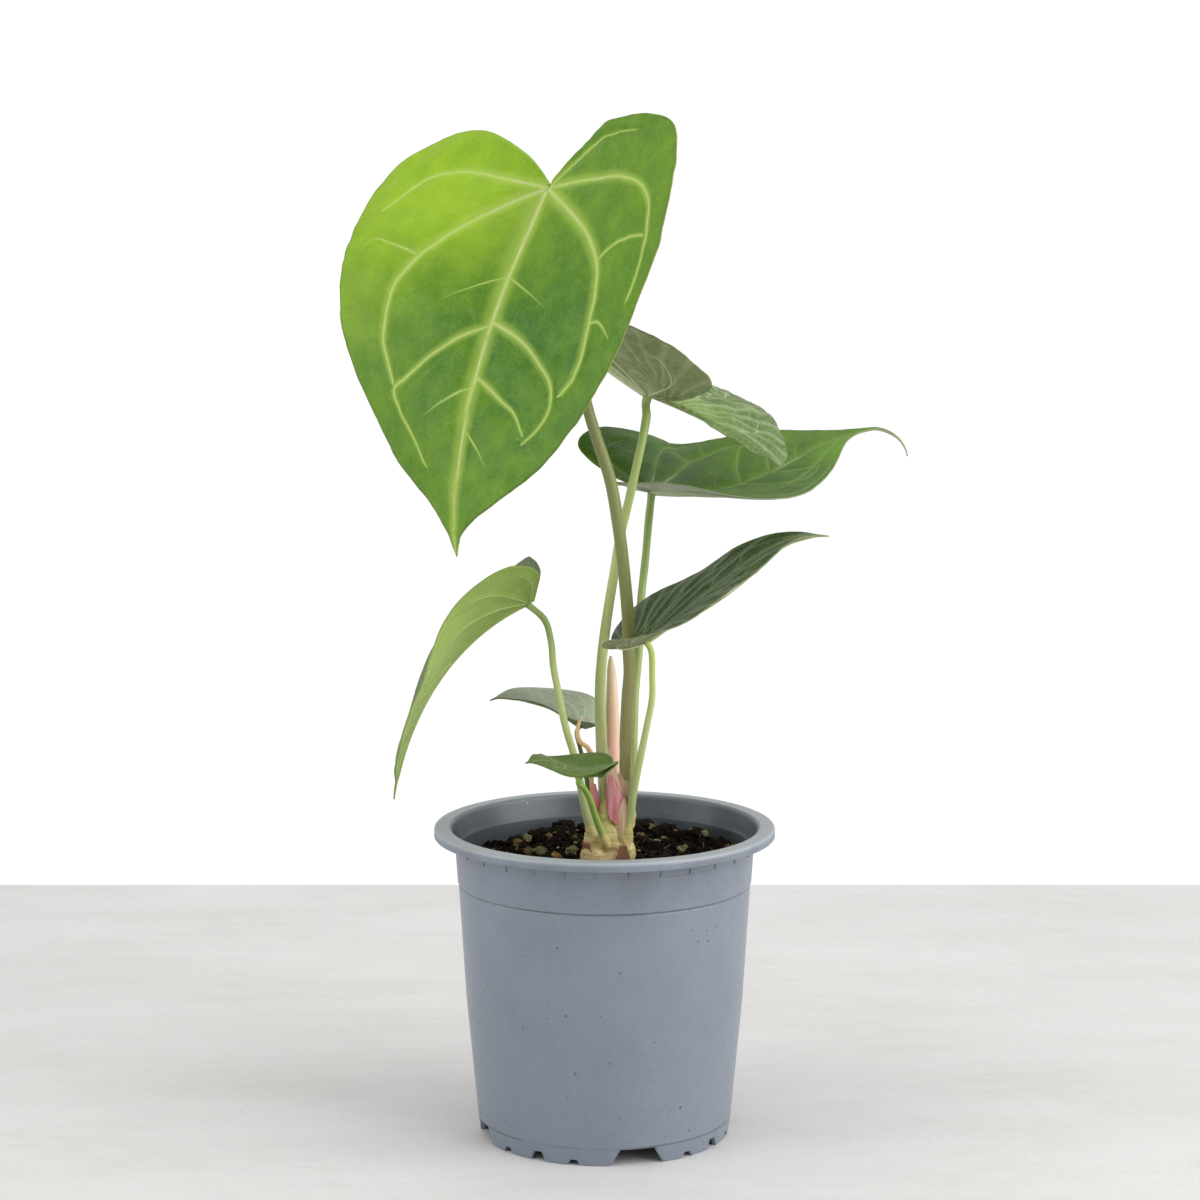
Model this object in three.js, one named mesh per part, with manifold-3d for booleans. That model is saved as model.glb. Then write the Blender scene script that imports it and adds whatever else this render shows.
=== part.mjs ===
// Potted anthurium clarinervium: a plastic nursery pot filled with soil, a short crown,
// seven heart-shaped leaves on petioles, a new shoot and the dry remains of older growth.
// Millimetres, +Z up. The photograph looks along +Y, from above the pot's front.
import * as THREE from 'three';
import { mergeVertices } from 'three/addons/utils/BufferGeometryUtils.js';
import ManifoldModule from 'manifold-3d';

const wasm = await ManifoldModule();
wasm.setup();

// Gap that touching pieces keep, and what facets add to it
const GAP = 0.3;
const CLEARANCE = 0.1;

// Pot: a round nursery pot, 120 mm across the rim
const POT = {
  height: 110.5,
  rimRadius: 60,
  rimLip: 3.4,
  rimRounding: 0.7,
  mouthRadius: 54.1,
  bandRadius: 53.2,
  upperStepHeight: 102.9,
  upperStepRadius: 52.6,
  lowerStepHeight: 90.9,
  lowerStepRadius: 51.8,
  bellyHeight: 48,
  bellyRadius: 48.9,
  baseHeight: 6.5,
  baseRadius: 45,
  footRadius: 44.1,
  wall: 1.2,
  step: 0.35,
  footTaper: 0.3,
  mouthTaper: 0.4,
  bandRise: 0.5,
};
const POT_SIDES = 60;

// Upright ribs under the rim; each is sunk into the wall
const RIBS = { count: 30, width: 1.2, depth: 1.1, sunk: 0.5, overlap: 0.2, turn: 0.25 };

// Foot ring: four wide gaps with three small notches between each pair, angles in degrees
const FOOT_GAP_ANGLE = -73;
const FOOT_GAP_WIDTH = 20;
const FOOT_GAP_HEIGHT = 4.6;
const NOTCHES = [
  { angle: 27.5, width: 4, height: 2.4 },
  { angle: 45, width: 6, height: 3.2 },
  { angle: 62.5, width: 4, height: 2.4 },
];
const FOOT_CUT_DEPTH = 8;
const FOOT_CUT_SLOPE = 0.35;
const DRAIN = { ringRadius: 36.5, holeRadius: 3.6, depth: 6, sides: 16 };

// Soil: its level at the pot's wall, low swells over it, and the lumps that stand out of it;
// one lump in four is a hollow
const SOIL_LEVEL = 96.2;
const SOIL_CROWNING = 0.6;
const SOIL_DEEPEST = -1.6;
const SOIL_RINGS = 9;
const SOIL_SIDES = 48;
const SWELL = { height: 0.5, alongX: 0.21, alongY: 0.17, start: 1 };
const LUMPS = {
  count: 46, seed: 7, inset: 8, size: 2.5, sizeMore: 3.5, height: 1, heightMore: 2.2, hollowShare: 0.25,
};
// Soil is level up to the first distance from the crown's belly and free from the second
const CROWN_CLEAR = { from: 1.5, to: 7 };

// Crown: the short stem that carries every petiole
const CROWN = {
  x: 1.3,
  y: 0,
  footHeight: 78,
  footChamfer: 1.5,
  neckHeight: 98,
  neckRadius: 8.2,
  bellyRadius: 9,
  topHeight: 110.5,
  sides: 24,
};
// Stumps under the petioles: they start this share of the way from the crown's heart,
// and widen from the petiole's foot down by these factors
const STUMP = { sides: 10, start: 0.35, straight: 3, flareTop: 1.22, flareMiddle: 1.34, flareFoot: 1.53 };

// Petioles: route from the crown up to just under the blade, chosen by hand from the photograph,
// and the radius at the foot, half way and under the blade
const PETIOLES = {
  petiole_1: {
    leaf: 'leaf_1', radii: [2.25, 2.1, 1.6], neck: 5, colour: 0x8a8f5e,
    route: [[7.5, -1, 115.5], [7.5, -2.4, 124.5], [7.5, -8, 145], [8, -12, 157], [8.7, -15.5, 168],
      [8.2, -18.6, 178], [8.1, -20, 186], [6.6, -22.5, 204], [4.5, -25, 221], [1.8, -27, 236],
      [-2.3, -29, 249], [-5.6, -30.5, 260], [-10, -33, 280], [-14.5, -35.5, 305], [-16.3, -36.2, 320]],
  },
  petiole_2: {
    leaf: 'leaf_2', radii: [2.05, 1.7, 1.4], neck: 4, colour: 0x9bab6a,
    route: [[0.5, 1.5, 115], [-0.5, 1, 130], [-1.2, 0, 143], [-1.4, -1.5, 163], [0.3, -3, 181],
      [3.5, -5, 202], [5.6, -7, 215], [8.4, -9.5, 227], [11, -10.8, 239], [13, -9.6, 248],
      [14.4, -5, 255.5]],
  },
  petiole_3: {
    leaf: 'leaf_3', radii: [1.6, 1.5, 1.3], neck: 4, colour: 0x87a05a,
    route: [[9, 6.3, 113.5], [10, 8, 132], [10.4, 11, 146], [10.8, 13.5, 156], [12.2, 17.5, 170],
      [13, 22, 187], [14.6, 26, 202], [15.7, 30, 214]],
  },
  petiole_4: {
    leaf: 'leaf_4', radii: [1.6, 1.35, 1.15], neck: 3.5, colour: 0x88a35c,
    route: [[7, -5.2, 110.5], [8.6, -6, 117.5], [9.6, -7, 124], [10.6, -8, 128.6], [13, -10.5, 139.4],
      [15, -13, 150], [16.4, -15, 158.3], [16.4, -17, 166.5]],
  },
  petiole_5: {
    leaf: 'leaf_5', radii: [1.7, 1.5, 1.2], neck: 4, colour: 0x97ab62,
    route: [[-4.7, -4.2, 109.5], [-6.5, -5, 116.6], [-8.9, -7, 128.8], [-11, -9, 138.4], [-13.4, -11, 147],
      [-15.8, -12.5, 159], [-17.7, -12.5, 169], [-18.6, -11.2, 178], [-20.8, -9.2, 185]],
  },
  petiole_6: {
    leaf: 'leaf_6', radii: [0.95, 0.85, 0.7], neck: 2.5, colour: 0x59773b,
    route: [[-4.4, 5.2, 109.5], [-5.8, 8, 121.4], [-6.9, 12, 127.8], [-8.4, 16.5, 133.6]],
  },
  petiole_7: {
    leaf: 'leaf_7', radii: [1.2, 1.1, 0.85], neck: 2.5, colour: 0x7fb04a,
    route: [[-0.6, -8.6, 107.6], [-1.5, -10.5, 111], [-3.3, -14.5, 117], [-5.4, -21, 124.8],
      [-7.4, -28, 129.8]],
  },
};
const PETIOLE_SIDES = 10;
const PETIOLE_STEP = 6;
// A petiole stands this share of its end radius forward of the point where the veins meet
const PETIOLE_SEAT = 0.6;

// New shoot: a rolled leaf in its sheath, pointed at the top
const SHOOT = {
  route: [[3, 5.4, 114.6], [2.9, 5, 130], [3.1, 4.6, 144], [2.9, 4.5, 158], [2.3, 4.5, 170]],
  radii: [2, 2.15, 0.3],
};

// Dried bract: a withered stalk with a curled end
const DRIED = {
  route: [[-3.7, 1.4, 111.5], [-4.3, 1.2, 122], [-4.8, 0.4, 131], [-5, -0.9, 136.5], [-6.3, -2.2, 139],
    [-8.6, -2.8, 140.8], [-9.5, -3, 144], [-9, -3, 147.4], [-7.8, -2.8, 150]],
  radii: [0.7, 0.9, 0.4],
  sides: 8,
  step: 2.5,
};

// Leaves. Sizes are the length from petiole to tip, the half widths and how far the lobes reach back.
// Each list of angles, in degrees, holds the value at the lobes, the petiole, half way and the tip:
// pitch is the midrib's rise, heading its compass angle from +X, roll tips the right half down,
// fold lifts a half at the midrib and curl bends it on towards the margin.
const STATIONS = [-0.25, 0, 0.5, 1];
const LEAVES = {
  leaf_1: {
    attach: [-18.7, -42, 334.3], length: 131, widthRight: 71, widthLeft: 73, lobeRight: 21.5, lobeLeft: 16,
    tail: 0.04, hook: 0, pitch: [-75, -52, -67, -94], heading: [-130, -122, -134, -146],
    roll: [4, 3, -8, -1], foldRight: [10, 9, 6, -4], foldLeft: [29, 25, -1, -9],
    curlRight: [-17, -15, -16, -3], curlLeft: [3, -2, 25, -23], rays: 22, rings: 6, wave: 0.8,
    colour: 0x5d8a2c,
  },
  leaf_2: {
    attach: [15.6, -2, 262.7], length: 121, widthRight: 55.5, widthLeft: 45.5, lobeRight: 44, lobeLeft: 35.5,
    tail: 0.06, hook: 0, pitch: [24, 17, 9, -70], heading: [132, 125, 122, 159], roll: [12, 4, 12, 0],
    foldRight: [-2, -6, -5, 5], foldLeft: [49, 39, 32, 10], curlRight: [0, 0, 0, 0],
    curlLeft: [0, 0, 0, 0], rays: 22, rings: 6, wave: 0.7, colour: 0x66804a,
  },
  leaf_3: {
    attach: [16.2, 32, 225.5], length: 108, widthRight: 40.5, widthLeft: 47, lobeRight: 15.5, lobeLeft: 26.5,
    tail: 0.25, hook: 84, pitch: [-1, -6, 23, 2], heading: [-1, 5, 27, -1], roll: [9, 4, 0, 5],
    foldRight: [22, 11, -5, 5], foldLeft: [22, 16, 16, 17], curlRight: [-13, 5, -5, -12],
    curlLeft: [0, 0, 0, 0], rays: 22, rings: 6, wave: 0.5, colour: 0x4f6f34,
  },
  leaf_4: {
    attach: [13.5, -19, 178.9], length: 75, widthRight: 32, widthLeft: 32.5, lobeRight: 15, lobeLeft: 10.5,
    tail: 0.08, hook: 10, pitch: [8, 32, 35, 8], heading: [4, 1, 9, 7], roll: [-4, -1, -1, 4],
    foldRight: [25, 12, 2, 17], foldLeft: [9, 14, 4, 20], curlRight: [0, 0, 0, 0],
    curlLeft: [0, 0, 0, 0], sinus: 0.3, rays: 20, rings: 5, wave: 0.4, colour: 0x4a6437,
  },
  leaf_5: {
    attach: [-26.2, -8, 190.8], length: 89, widthRight: 31.5, widthLeft: 35.5, lobeRight: 6, lobeLeft: 8,
    tail: 0.1, hook: 0, pitch: [-5, -25, -57, -82], heading: [185, 175, 172, 182], roll: [5, 8, -1, 4],
    foldRight: [43, 31, 20, 15], foldLeft: [31, 21, 5, 8], curlRight: [0, 0, 0, 0],
    curlLeft: [0, 0, 0, 0], rays: 20, rings: 5, wave: 0.4, colour: 0x76964a,
  },
  leaf_6: {
    attach: [-8.4, 20, 142], length: 35.5, widthRight: 22, widthLeft: 20, lobeRight: 5, lobeLeft: 5,
    tail: 0.08, hook: 0, pitch: [-2, 28, 22, -20], heading: [184, 172, 186, 182], roll: [14, 3, 2, -2],
    foldRight: [8, 18, 8, 7], foldLeft: [13, 14, 3, 2], curlRight: [0, 0, 0, 0],
    curlLeft: [0, 0, 0, 0], rays: 14, rings: 4, wave: 0.25, colour: 0x76866a,
  },
  leaf_7: {
    attach: [-7.7, -34, 135], length: 23, widthRight: 20, widthLeft: 19, lobeRight: 9, lobeLeft: 5.5,
    tail: 0.08, hook: 0, pitch: [12, 29, 20, -12], heading: [183, 212, 203, 199], roll: [-3, 3, -3, -4],
    foldRight: [20, 15, -2, 3], foldLeft: [21, 22, -4, 0], curlRight: [0, 0, 0, 0],
    curlLeft: [0, 0, 0, 0], rays: 14, rings: 4, wave: 0.2, colour: 0x3f5c2a,
  },
};
const BLADE_THICKNESS = 0.8;
const VEIN_DEPTH = 0.5;
// Where the thick veins leave the petiole, as shares of the way round half the outline
const VEIN_TURNS = [0, 0.3, 0.52, 1];
const SINUS_DEPTH = 2;
const SINUS_WIDTH = 0.2;
const SPINE_START = -0.45;
const SPINE_STEPS = 145;
const HOOK_START = 0.78;
const HOOK_POWER = 1.5;
const WAVES_PER_HALF = 3.5;

// Half of the heart outline: the share of the half width across, then the share of the lobe (back)
// or of the body (forward) along
const LOBE_OUTLINE = [[0.52, -1], [0.84, -0.66], [0.99, 0.1]];
const LOBE_START = -0.62;
const BODY_OUTLINE = [[0.975, 0.27], [0.81, 0.52], [0.49, 0.77], [0.17, 0.95]];
// The drip tip: half width share, and how much of the tail is left
const TAIL_OUTLINE = [[0.045, 0.8], [0.02, 0.4]];

// Papery remains that wrap the crown: angles in degrees round their axis, heights at foot and point
const SHEATHS = {
  sheath: {
    x: 4, y: -2.7, radius: 2.5, foot: 111.1, point: 131, from: 176, to: 290, lean: -0.25, colour: 0xc98a83,
  },
  scale_left: {
    x: 1.3, y: 0, radius: 9.65, foot: 98, point: 106, from: 203, to: 243, lean: 0.2, colour: 0x6e4a2e,
  },
  scale_right: {
    x: 1.3, y: 0, radius: 9.65, foot: 98, point: 105.5, from: 281, to: 319, lean: -0.1, colour: 0x7a5636,
  },
};
const SHEATH_THICKNESS = 0.6;
const SHEATH_COLUMNS = 6;
const SHEATH_ROWS = 5;
const SHEATH_POINT_WIDTH = 0.06;
const SHEATH_TAPER = 0.8;

const MIN_TUBE_RINGS = 6;

const degrees = THREE.MathUtils.degToRad;
const point = ([x, y, z]) => new THREE.Vector3(x, y, z);

// Small seeded generator, so that the soil is the same at each build
function seededRandom(seed) {
  let state = seed;
  return () => {
    state = (state * 1103515245 + 12345) % 2147483648;
    return state / 2147483648;
  };
}

// Smooth curve through values given at uneven stations, read at place u
function blend(values, u) {
  const last = STATIONS.length - 1;
  const slopes = values.map((value, i) => {
    if (i === 0) return (values[1] - value) / (STATIONS[1] - STATIONS[0]);
    if (i === last) return (value - values[last - 1]) / (STATIONS[last] - STATIONS[last - 1]);
    const before = STATIONS[i] - STATIONS[i - 1];
    const after = STATIONS[i + 1] - STATIONS[i];
    const slopeBefore = (value - values[i - 1]) / before;
    const slopeAfter = (values[i + 1] - value) / after;
    return (slopeBefore * after + slopeAfter * before) / (before + after);
  });
  const inside = Math.min(Math.max(u, STATIONS[0]), STATIONS[last]);
  let k = 0;
  while (k < last - 1 && inside > STATIONS[k + 1]) k += 1;
  const span = STATIONS[k + 1] - STATIONS[k];
  const t = (inside - STATIONS[k]) / span;
  const t2 = t * t;
  const t3 = t2 * t;
  const value = (2 * t3 - 3 * t2 + 1) * values[k] + (t3 - 2 * t2 + t) * span * slopes[k]
    + (3 * t2 - 2 * t3) * values[k + 1] + (t3 - t2) * span * slopes[k + 1];
  return value + (u - inside) * (u < inside ? slopes[0] : slopes[last]);
}

// Midrib line of a leaf with the directions along it, to its right and out of its upper face
function leafFrame(leaf, u) {
  const past = Math.max(0, (u - HOOK_START) / (1 - HOOK_START));
  const pitch = degrees(blend(leaf.pitch, u) - leaf.hook * past ** HOOK_POWER);
  const heading = degrees(blend(leaf.heading, u));
  const roll = degrees(blend(leaf.roll, u));
  const along = new THREE.Vector3(
    Math.cos(heading) * Math.cos(pitch), Math.sin(heading) * Math.cos(pitch), Math.sin(pitch));
  const level = new THREE.Vector3(Math.sin(heading), -Math.cos(heading), 0);
  const upright = level.clone().cross(along);
  const right = level.clone().multiplyScalar(Math.cos(roll)).addScaledVector(upright, -Math.sin(roll));
  const up = upright.clone().multiplyScalar(Math.cos(roll)).addScaledVector(level, Math.sin(roll));
  return { along, right, up };
}

function leafSpine(leaf) {
  const step = (1 - SPINE_START) / SPINE_STEPS;
  const places = [new THREE.Vector3()];
  for (let i = 0; i < SPINE_STEPS; i += 1) {
    const middle = SPINE_START + (i + 0.5) * step;
    places.push(places[i].clone().addScaledVector(leafFrame(leaf, middle).along, step * leaf.length));
  }
  const origin = places[Math.round(-SPINE_START / step)].clone();
  const shift = point(leaf.attach).sub(origin);
  places.forEach((place) => place.add(shift));
  return (u) => {
    const x = Math.min(Math.max((u - SPINE_START) / step, 0), SPINE_STEPS - 1e-6);
    const i = Math.floor(x);
    return places[i].clone().lerp(places[i + 1], x - i);
  };
}

// Half of the flat heart outline, from the notch behind the petiole round the lobe to the tip:
// first number across, second along, both in millimetres
function halfOutline(leaf, right) {
  const width = right ? leaf.widthRight : leaf.widthLeft;
  const lobe = right ? leaf.lobeRight : leaf.lobeLeft;
  const body = leaf.length * (1 - leaf.tail);
  const points = [
    [0, -SINUS_DEPTH],
    [(leaf.sinus ?? SINUS_WIDTH) * width, LOBE_START * lobe],
    ...LOBE_OUTLINE.map(([across, along]) => [across * width, along * lobe]),
    ...BODY_OUTLINE.map(([across, along]) => [across * width, along * body]),
    ...TAIL_OUTLINE.map(([across, left]) => [across * width, leaf.length * (1 - left * leaf.tail)]),
    [0, leaf.length],
  ];
  const curve = new THREE.SplineCurve(points.map(([x, y]) => new THREE.Vector2(x, y)));
  return curve.getSpacedPoints(leaf.rays);
}

// One leaf blade as a closed slab: rays run from the petiole to the outline, rings cross them,
// and both faces are split alike. Main veins thicken the underside.
function bladeGeometry(leaf) {
  const spine = leafSpine(leaf);
  const rightHalf = halfOutline(leaf, true).map((p) => ({ across: p.x, along: p.y, side: 1 }));
  const leftHalf = halfOutline(leaf, false).map((p) => ({ across: p.x, along: p.y, side: -1 }));
  const rim = [...rightHalf, ...leftHalf.reverse().slice(1, -1)];
  const veinRays = VEIN_TURNS.map((share) => Math.round(share * leaf.rays));

  const surfacePoint = (corner, ray, share, offset) => {
    const across = corner.across * share;
    const u = (corner.along * share) / leaf.length;
    const isRight = corner.side > 0;
    const width = isRight ? leaf.widthRight : leaf.widthLeft;
    const frame = leafFrame(leaf, u);
    const fold = degrees(blend(isRight ? leaf.foldRight : leaf.foldLeft, u));
    const bend = degrees(blend(isRight ? leaf.curlRight : leaf.curlLeft, u)) / width || 1e-6;
    const angle = fold + bend * across;
    const out = (Math.sin(angle) - Math.sin(fold)) / bend;
    const rise = (Math.cos(fold) - Math.cos(angle)) / bend;
    const normal = frame.up.clone().multiplyScalar(Math.cos(angle))
      .addScaledVector(frame.right, -corner.side * Math.sin(angle));
    const turn = (ray <= leaf.rays ? ray : 2 * leaf.rays - ray) / leaf.rays;
    const wave = leaf.wave * share ** 3 * Math.sin(2 * Math.PI * WAVES_PER_HALF * turn + corner.side)
      * Math.sin(Math.PI * turn);
    return spine(u).addScaledVector(frame.right, corner.side * out).addScaledVector(frame.up, rise)
      .addScaledVector(normal, wave + offset);
  };
  const veinAt = (ray, share) => {
    const turn = ray <= leaf.rays ? ray : 2 * leaf.rays - ray;
    const onVein = turn > 0 && veinRays.includes(turn);
    return onVein ? VEIN_DEPTH * Math.sin(Math.PI * share) : 0;
  };

  const positions = [];
  const faces = [];
  const addFace = (isTop) => {
    const half = isTop ? BLADE_THICKNESS / 2 : -BLADE_THICKNESS / 2;
    const start = positions.length / 3;
    positions.push(...surfacePoint(rim[0], 0, 0, half).toArray());
    for (let ring = 1; ring <= leaf.rings; ring += 1) {
      rim.forEach((corner, ray) => {
        const share = ring / leaf.rings;
        const offset = isTop ? half : half - veinAt(ray, share);
        positions.push(...surfacePoint(corner, ray, share, offset).toArray());
      });
    }
    const at = (ring, ray) => {
      const index = 1 + (ring - 1) * rim.length + (ray % rim.length);
      return ring === 0 ? start : start + index;
    };
    const push = (a, b, c) => faces.push(...(isTop ? [a, b, c] : [a, c, b]));
    for (let ray = 0; ray < rim.length; ray += 1) {
      push(at(0, 0), at(1, ray), at(1, ray + 1));
      for (let ring = 1; ring < leaf.rings; ring += 1) {
        push(at(ring, ray), at(ring + 1, ray), at(ring + 1, ray + 1));
        push(at(ring, ray), at(ring + 1, ray + 1), at(ring, ray + 1));
      }
    }
    return at;
  };
  const top = addFace(true);
  const bottom = addFace(false);
  for (let ray = 0; ray < rim.length; ray += 1) {
    const [a, b] = [top(leaf.rings, ray), top(leaf.rings, ray + 1)];
    const [c, d] = [bottom(leaf.rings, ray), bottom(leaf.rings, ray + 1)];
    faces.push(a, c, b, b, c, d);
  }
  return closedGeometry(positions, faces);
}

function closedGeometry(positions, faces) {
  const geometry = new THREE.BufferGeometry();
  geometry.setAttribute('position', new THREE.Float32BufferAttribute(positions, 3));
  geometry.setIndex(faces);
  geometry.computeVertexNormals();
  return geometry;
}

// Closed tube along a smooth route with flat ends; radii are at the foot, half way and the end
function tubeGeometry(route, radii, sides, step) {
  const curve = new THREE.CatmullRomCurve3(route.map(point), false, 'centripetal');
  const rings = Math.max(MIN_TUBE_RINGS, Math.round(curve.getLength() / step));
  const frames = curve.computeFrenetFrames(rings, false);
  const positions = [];
  const faces = [];
  for (let ring = 0; ring <= rings; ring += 1) {
    const share = ring / rings;
    const radius = share < 0.5
      ? THREE.MathUtils.lerp(radii[0], radii[1], share * 2)
      : THREE.MathUtils.lerp(radii[1], radii[2], share * 2 - 1);
    const centre = curve.getPointAt(share);
    for (let side = 0; side < sides; side += 1) {
      const angle = (2 * Math.PI * side) / sides;
      const corner = centre.clone()
        .addScaledVector(frames.normals[ring], radius * Math.cos(angle))
        .addScaledVector(frames.binormals[ring], radius * Math.sin(angle));
      positions.push(...corner.toArray());
    }
  }
  const at = (ring, side) => ring * sides + (side % sides);
  for (let side = 0; side < sides; side += 1) {
    for (let ring = 0; ring < rings; ring += 1) {
      faces.push(at(ring, side), at(ring, side + 1), at(ring + 1, side + 1));
      faces.push(at(ring, side), at(ring + 1, side + 1), at(ring + 1, side));
    }
  }
  const foot = positions.length / 3;
  positions.push(...curve.getPointAt(0).toArray(), ...curve.getPointAt(1).toArray());
  for (let side = 0; side < sides; side += 1) {
    faces.push(foot, at(0, side + 1), at(0, side));
    faces.push(foot + 1, at(rings, side), at(rings, side + 1));
  }
  return closedGeometry(positions, faces);
}

// Route of a petiole, ended square to the underside of its blade
function petioleRoute(petiole) {
  const leaf = LEAVES[petiole.leaf];
  const { along, up } = leafFrame(leaf, 0);
  const seat = point(leaf.attach).addScaledVector(along, petiole.radii[2] * PETIOLE_SEAT);
  const end = seat.clone().addScaledVector(up, -(BLADE_THICKNESS / 2 + GAP + CLEARANCE));
  const neck = seat.clone().addScaledVector(up, -petiole.neck);
  return [...petiole.route, neck.toArray(), end.toArray()];
}

function toManifold(geometry) {
  const bare = geometry.clone();
  bare.deleteAttribute('normal');
  bare.deleteAttribute('uv');
  const merged = mergeVertices(bare, 1e-3);
  return new wasm.Manifold(new wasm.Mesh({
    numProp: 3,
    vertProperties: new Float32Array(merged.attributes.position.array),
    triVerts: new Uint32Array(merged.index.array),
  }));
}

function fromManifold(manifold) {
  const mesh = manifold.getMesh();
  return closedGeometry(Array.from(mesh.vertProperties), Array.from(mesh.triVerts));
}

// Lathe about Z from a closed profile of [radius, height] points that runs anticlockwise
function turned(profile, sides) {
  const ring = profile.map(([radius, height]) => new THREE.Vector2(radius, height));
  return new THREE.LatheGeometry([...ring, ring[0]], sides).rotateX(Math.PI / 2);
}

function potInnerRadius(height) {
  const low = { height: POT.baseHeight, radius: POT.baseRadius - POT.wall };
  const middle = { height: POT.bellyHeight, radius: POT.bellyRadius - POT.wall };
  const high = { height: POT.upperStepHeight, radius: POT.upperStepRadius - POT.wall };
  const [a, b] = height < middle.height ? [low, middle] : [middle, high];
  return THREE.MathUtils.mapLinear(height, a.height, b.height, a.radius, b.radius);
}

function potGeometry() {
  const { wall, step } = POT;
  const floorTop = POT.baseHeight + wall;
  const lip = POT.height - POT.rimLip;
  const round = POT.rimRounding;
  const under = POT.height - wall;
  const profile = [
    [0, POT.baseHeight],
    [POT.footRadius - wall, POT.baseHeight],
    [POT.footRadius - wall - POT.footTaper, 0],
    [POT.footRadius, 0],
    [POT.baseRadius, POT.baseHeight],
    [POT.bellyRadius, POT.bellyHeight],
    [POT.lowerStepRadius - step, POT.lowerStepHeight - 1],
    [POT.lowerStepRadius, POT.lowerStepHeight],
    [POT.upperStepRadius, POT.upperStepHeight],
    [POT.bandRadius, POT.upperStepHeight + POT.bandRise],
    [POT.mouthRadius + POT.mouthTaper, under],
    [POT.rimRadius - wall, under],
    [POT.rimRadius - wall, lip],
    [POT.rimRadius, lip],
    [POT.rimRadius, POT.height - round],
    [POT.rimRadius - round, POT.height],
    [POT.mouthRadius + round, POT.height],
    [POT.mouthRadius, POT.height - round],
    [POT.bandRadius - wall, POT.upperStepHeight + 1],
    [POT.upperStepRadius - wall, POT.upperStepHeight],
    [POT.bellyRadius - wall, POT.bellyHeight],
    [potInnerRadius(floorTop), floorTop],
    [0, floorTop],
  ];
  let pot = toManifold(turned(profile, POT_SIDES));

  const bandHeight = under - POT.upperStepHeight;
  const bandLean = Math.atan((POT.mouthRadius + POT.mouthTaper - POT.bandRadius) / bandHeight);
  const ribs = [];
  for (let i = 0; i < RIBS.count; i += 1) {
    const rib = new THREE.BoxGeometry(RIBS.depth + RIBS.sunk, RIBS.width, bandHeight + RIBS.overlap)
      .translate((RIBS.depth - RIBS.sunk) / 2, 0, bandHeight / 2)
      .rotateY(bandLean)
      .translate(POT.bandRadius, 0, POT.upperStepHeight + 2 * RIBS.overlap)
      .rotateZ((2 * Math.PI * (i + RIBS.turn)) / RIBS.count);
    ribs.push(toManifold(rib));
  }
  pot = pot.add(wasm.Manifold.union(ribs));

  const cuts = [];
  for (let quarter = 0; quarter < 4; quarter += 1) {
    const centre = FOOT_GAP_ANGLE + 90 * quarter;
    cuts.push(footCut(centre, FOOT_GAP_WIDTH, FOOT_GAP_HEIGHT));
    NOTCHES.forEach((notch) => cuts.push(footCut(centre + notch.angle, notch.width, notch.height)));
    const hole = new THREE.CylinderGeometry(DRAIN.holeRadius, DRAIN.holeRadius, DRAIN.depth, DRAIN.sides)
      .rotateX(Math.PI / 2)
      .translate(DRAIN.ringRadius, 0, floorTop)
      .rotateZ(degrees(centre));
    cuts.push(toManifold(hole));
  }
  return fromManifold(pot.subtract(wasm.Manifold.union(cuts)));
}

// Tapered block that cuts the foot ring; the width is an angle in degrees
function footCut(angle, width, height) {
  const half = POT.footRadius * Math.sin(degrees(width / 2));
  const slope = half * FOOT_CUT_SLOPE;
  const shape = new THREE.Shape([
    new THREE.Vector2(-half, -1),
    new THREE.Vector2(half, -1),
    new THREE.Vector2(half - slope, height),
    new THREE.Vector2(-half + slope, height),
  ]);
  const block = new THREE.ExtrudeGeometry(shape, { depth: FOOT_CUT_DEPTH, bevelEnabled: false });
  block.rotateX(Math.PI / 2).rotateZ(Math.PI / 2).translate(POT.footRadius - FOOT_CUT_DEPTH / 2, 0, 0);
  return toManifold(block.rotateZ(degrees(angle)));
}

// Height of the soil at a place: low swells and seeded lumps, level where the crown stands
function soilHeight(lumps, x, y) {
  const fromCrown = Math.hypot(x - CROWN.x, y - CROWN.y);
  const clear = THREE.MathUtils.smoothstep(
    fromCrown, CROWN.bellyRadius + CROWN_CLEAR.from, CROWN.bellyRadius + CROWN_CLEAR.to);
  let height = SWELL.height * Math.sin(x * SWELL.alongX + SWELL.start) * Math.cos(y * SWELL.alongY);
  lumps.forEach((lump) => {
    const away = Math.hypot(x - lump.x, y - lump.y) / lump.size;
    height += lump.height * Math.exp(-away * away);
  });
  return SOIL_LEVEL + SOIL_CROWNING + Math.max(SOIL_DEEPEST, height) * clear;
}

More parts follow.
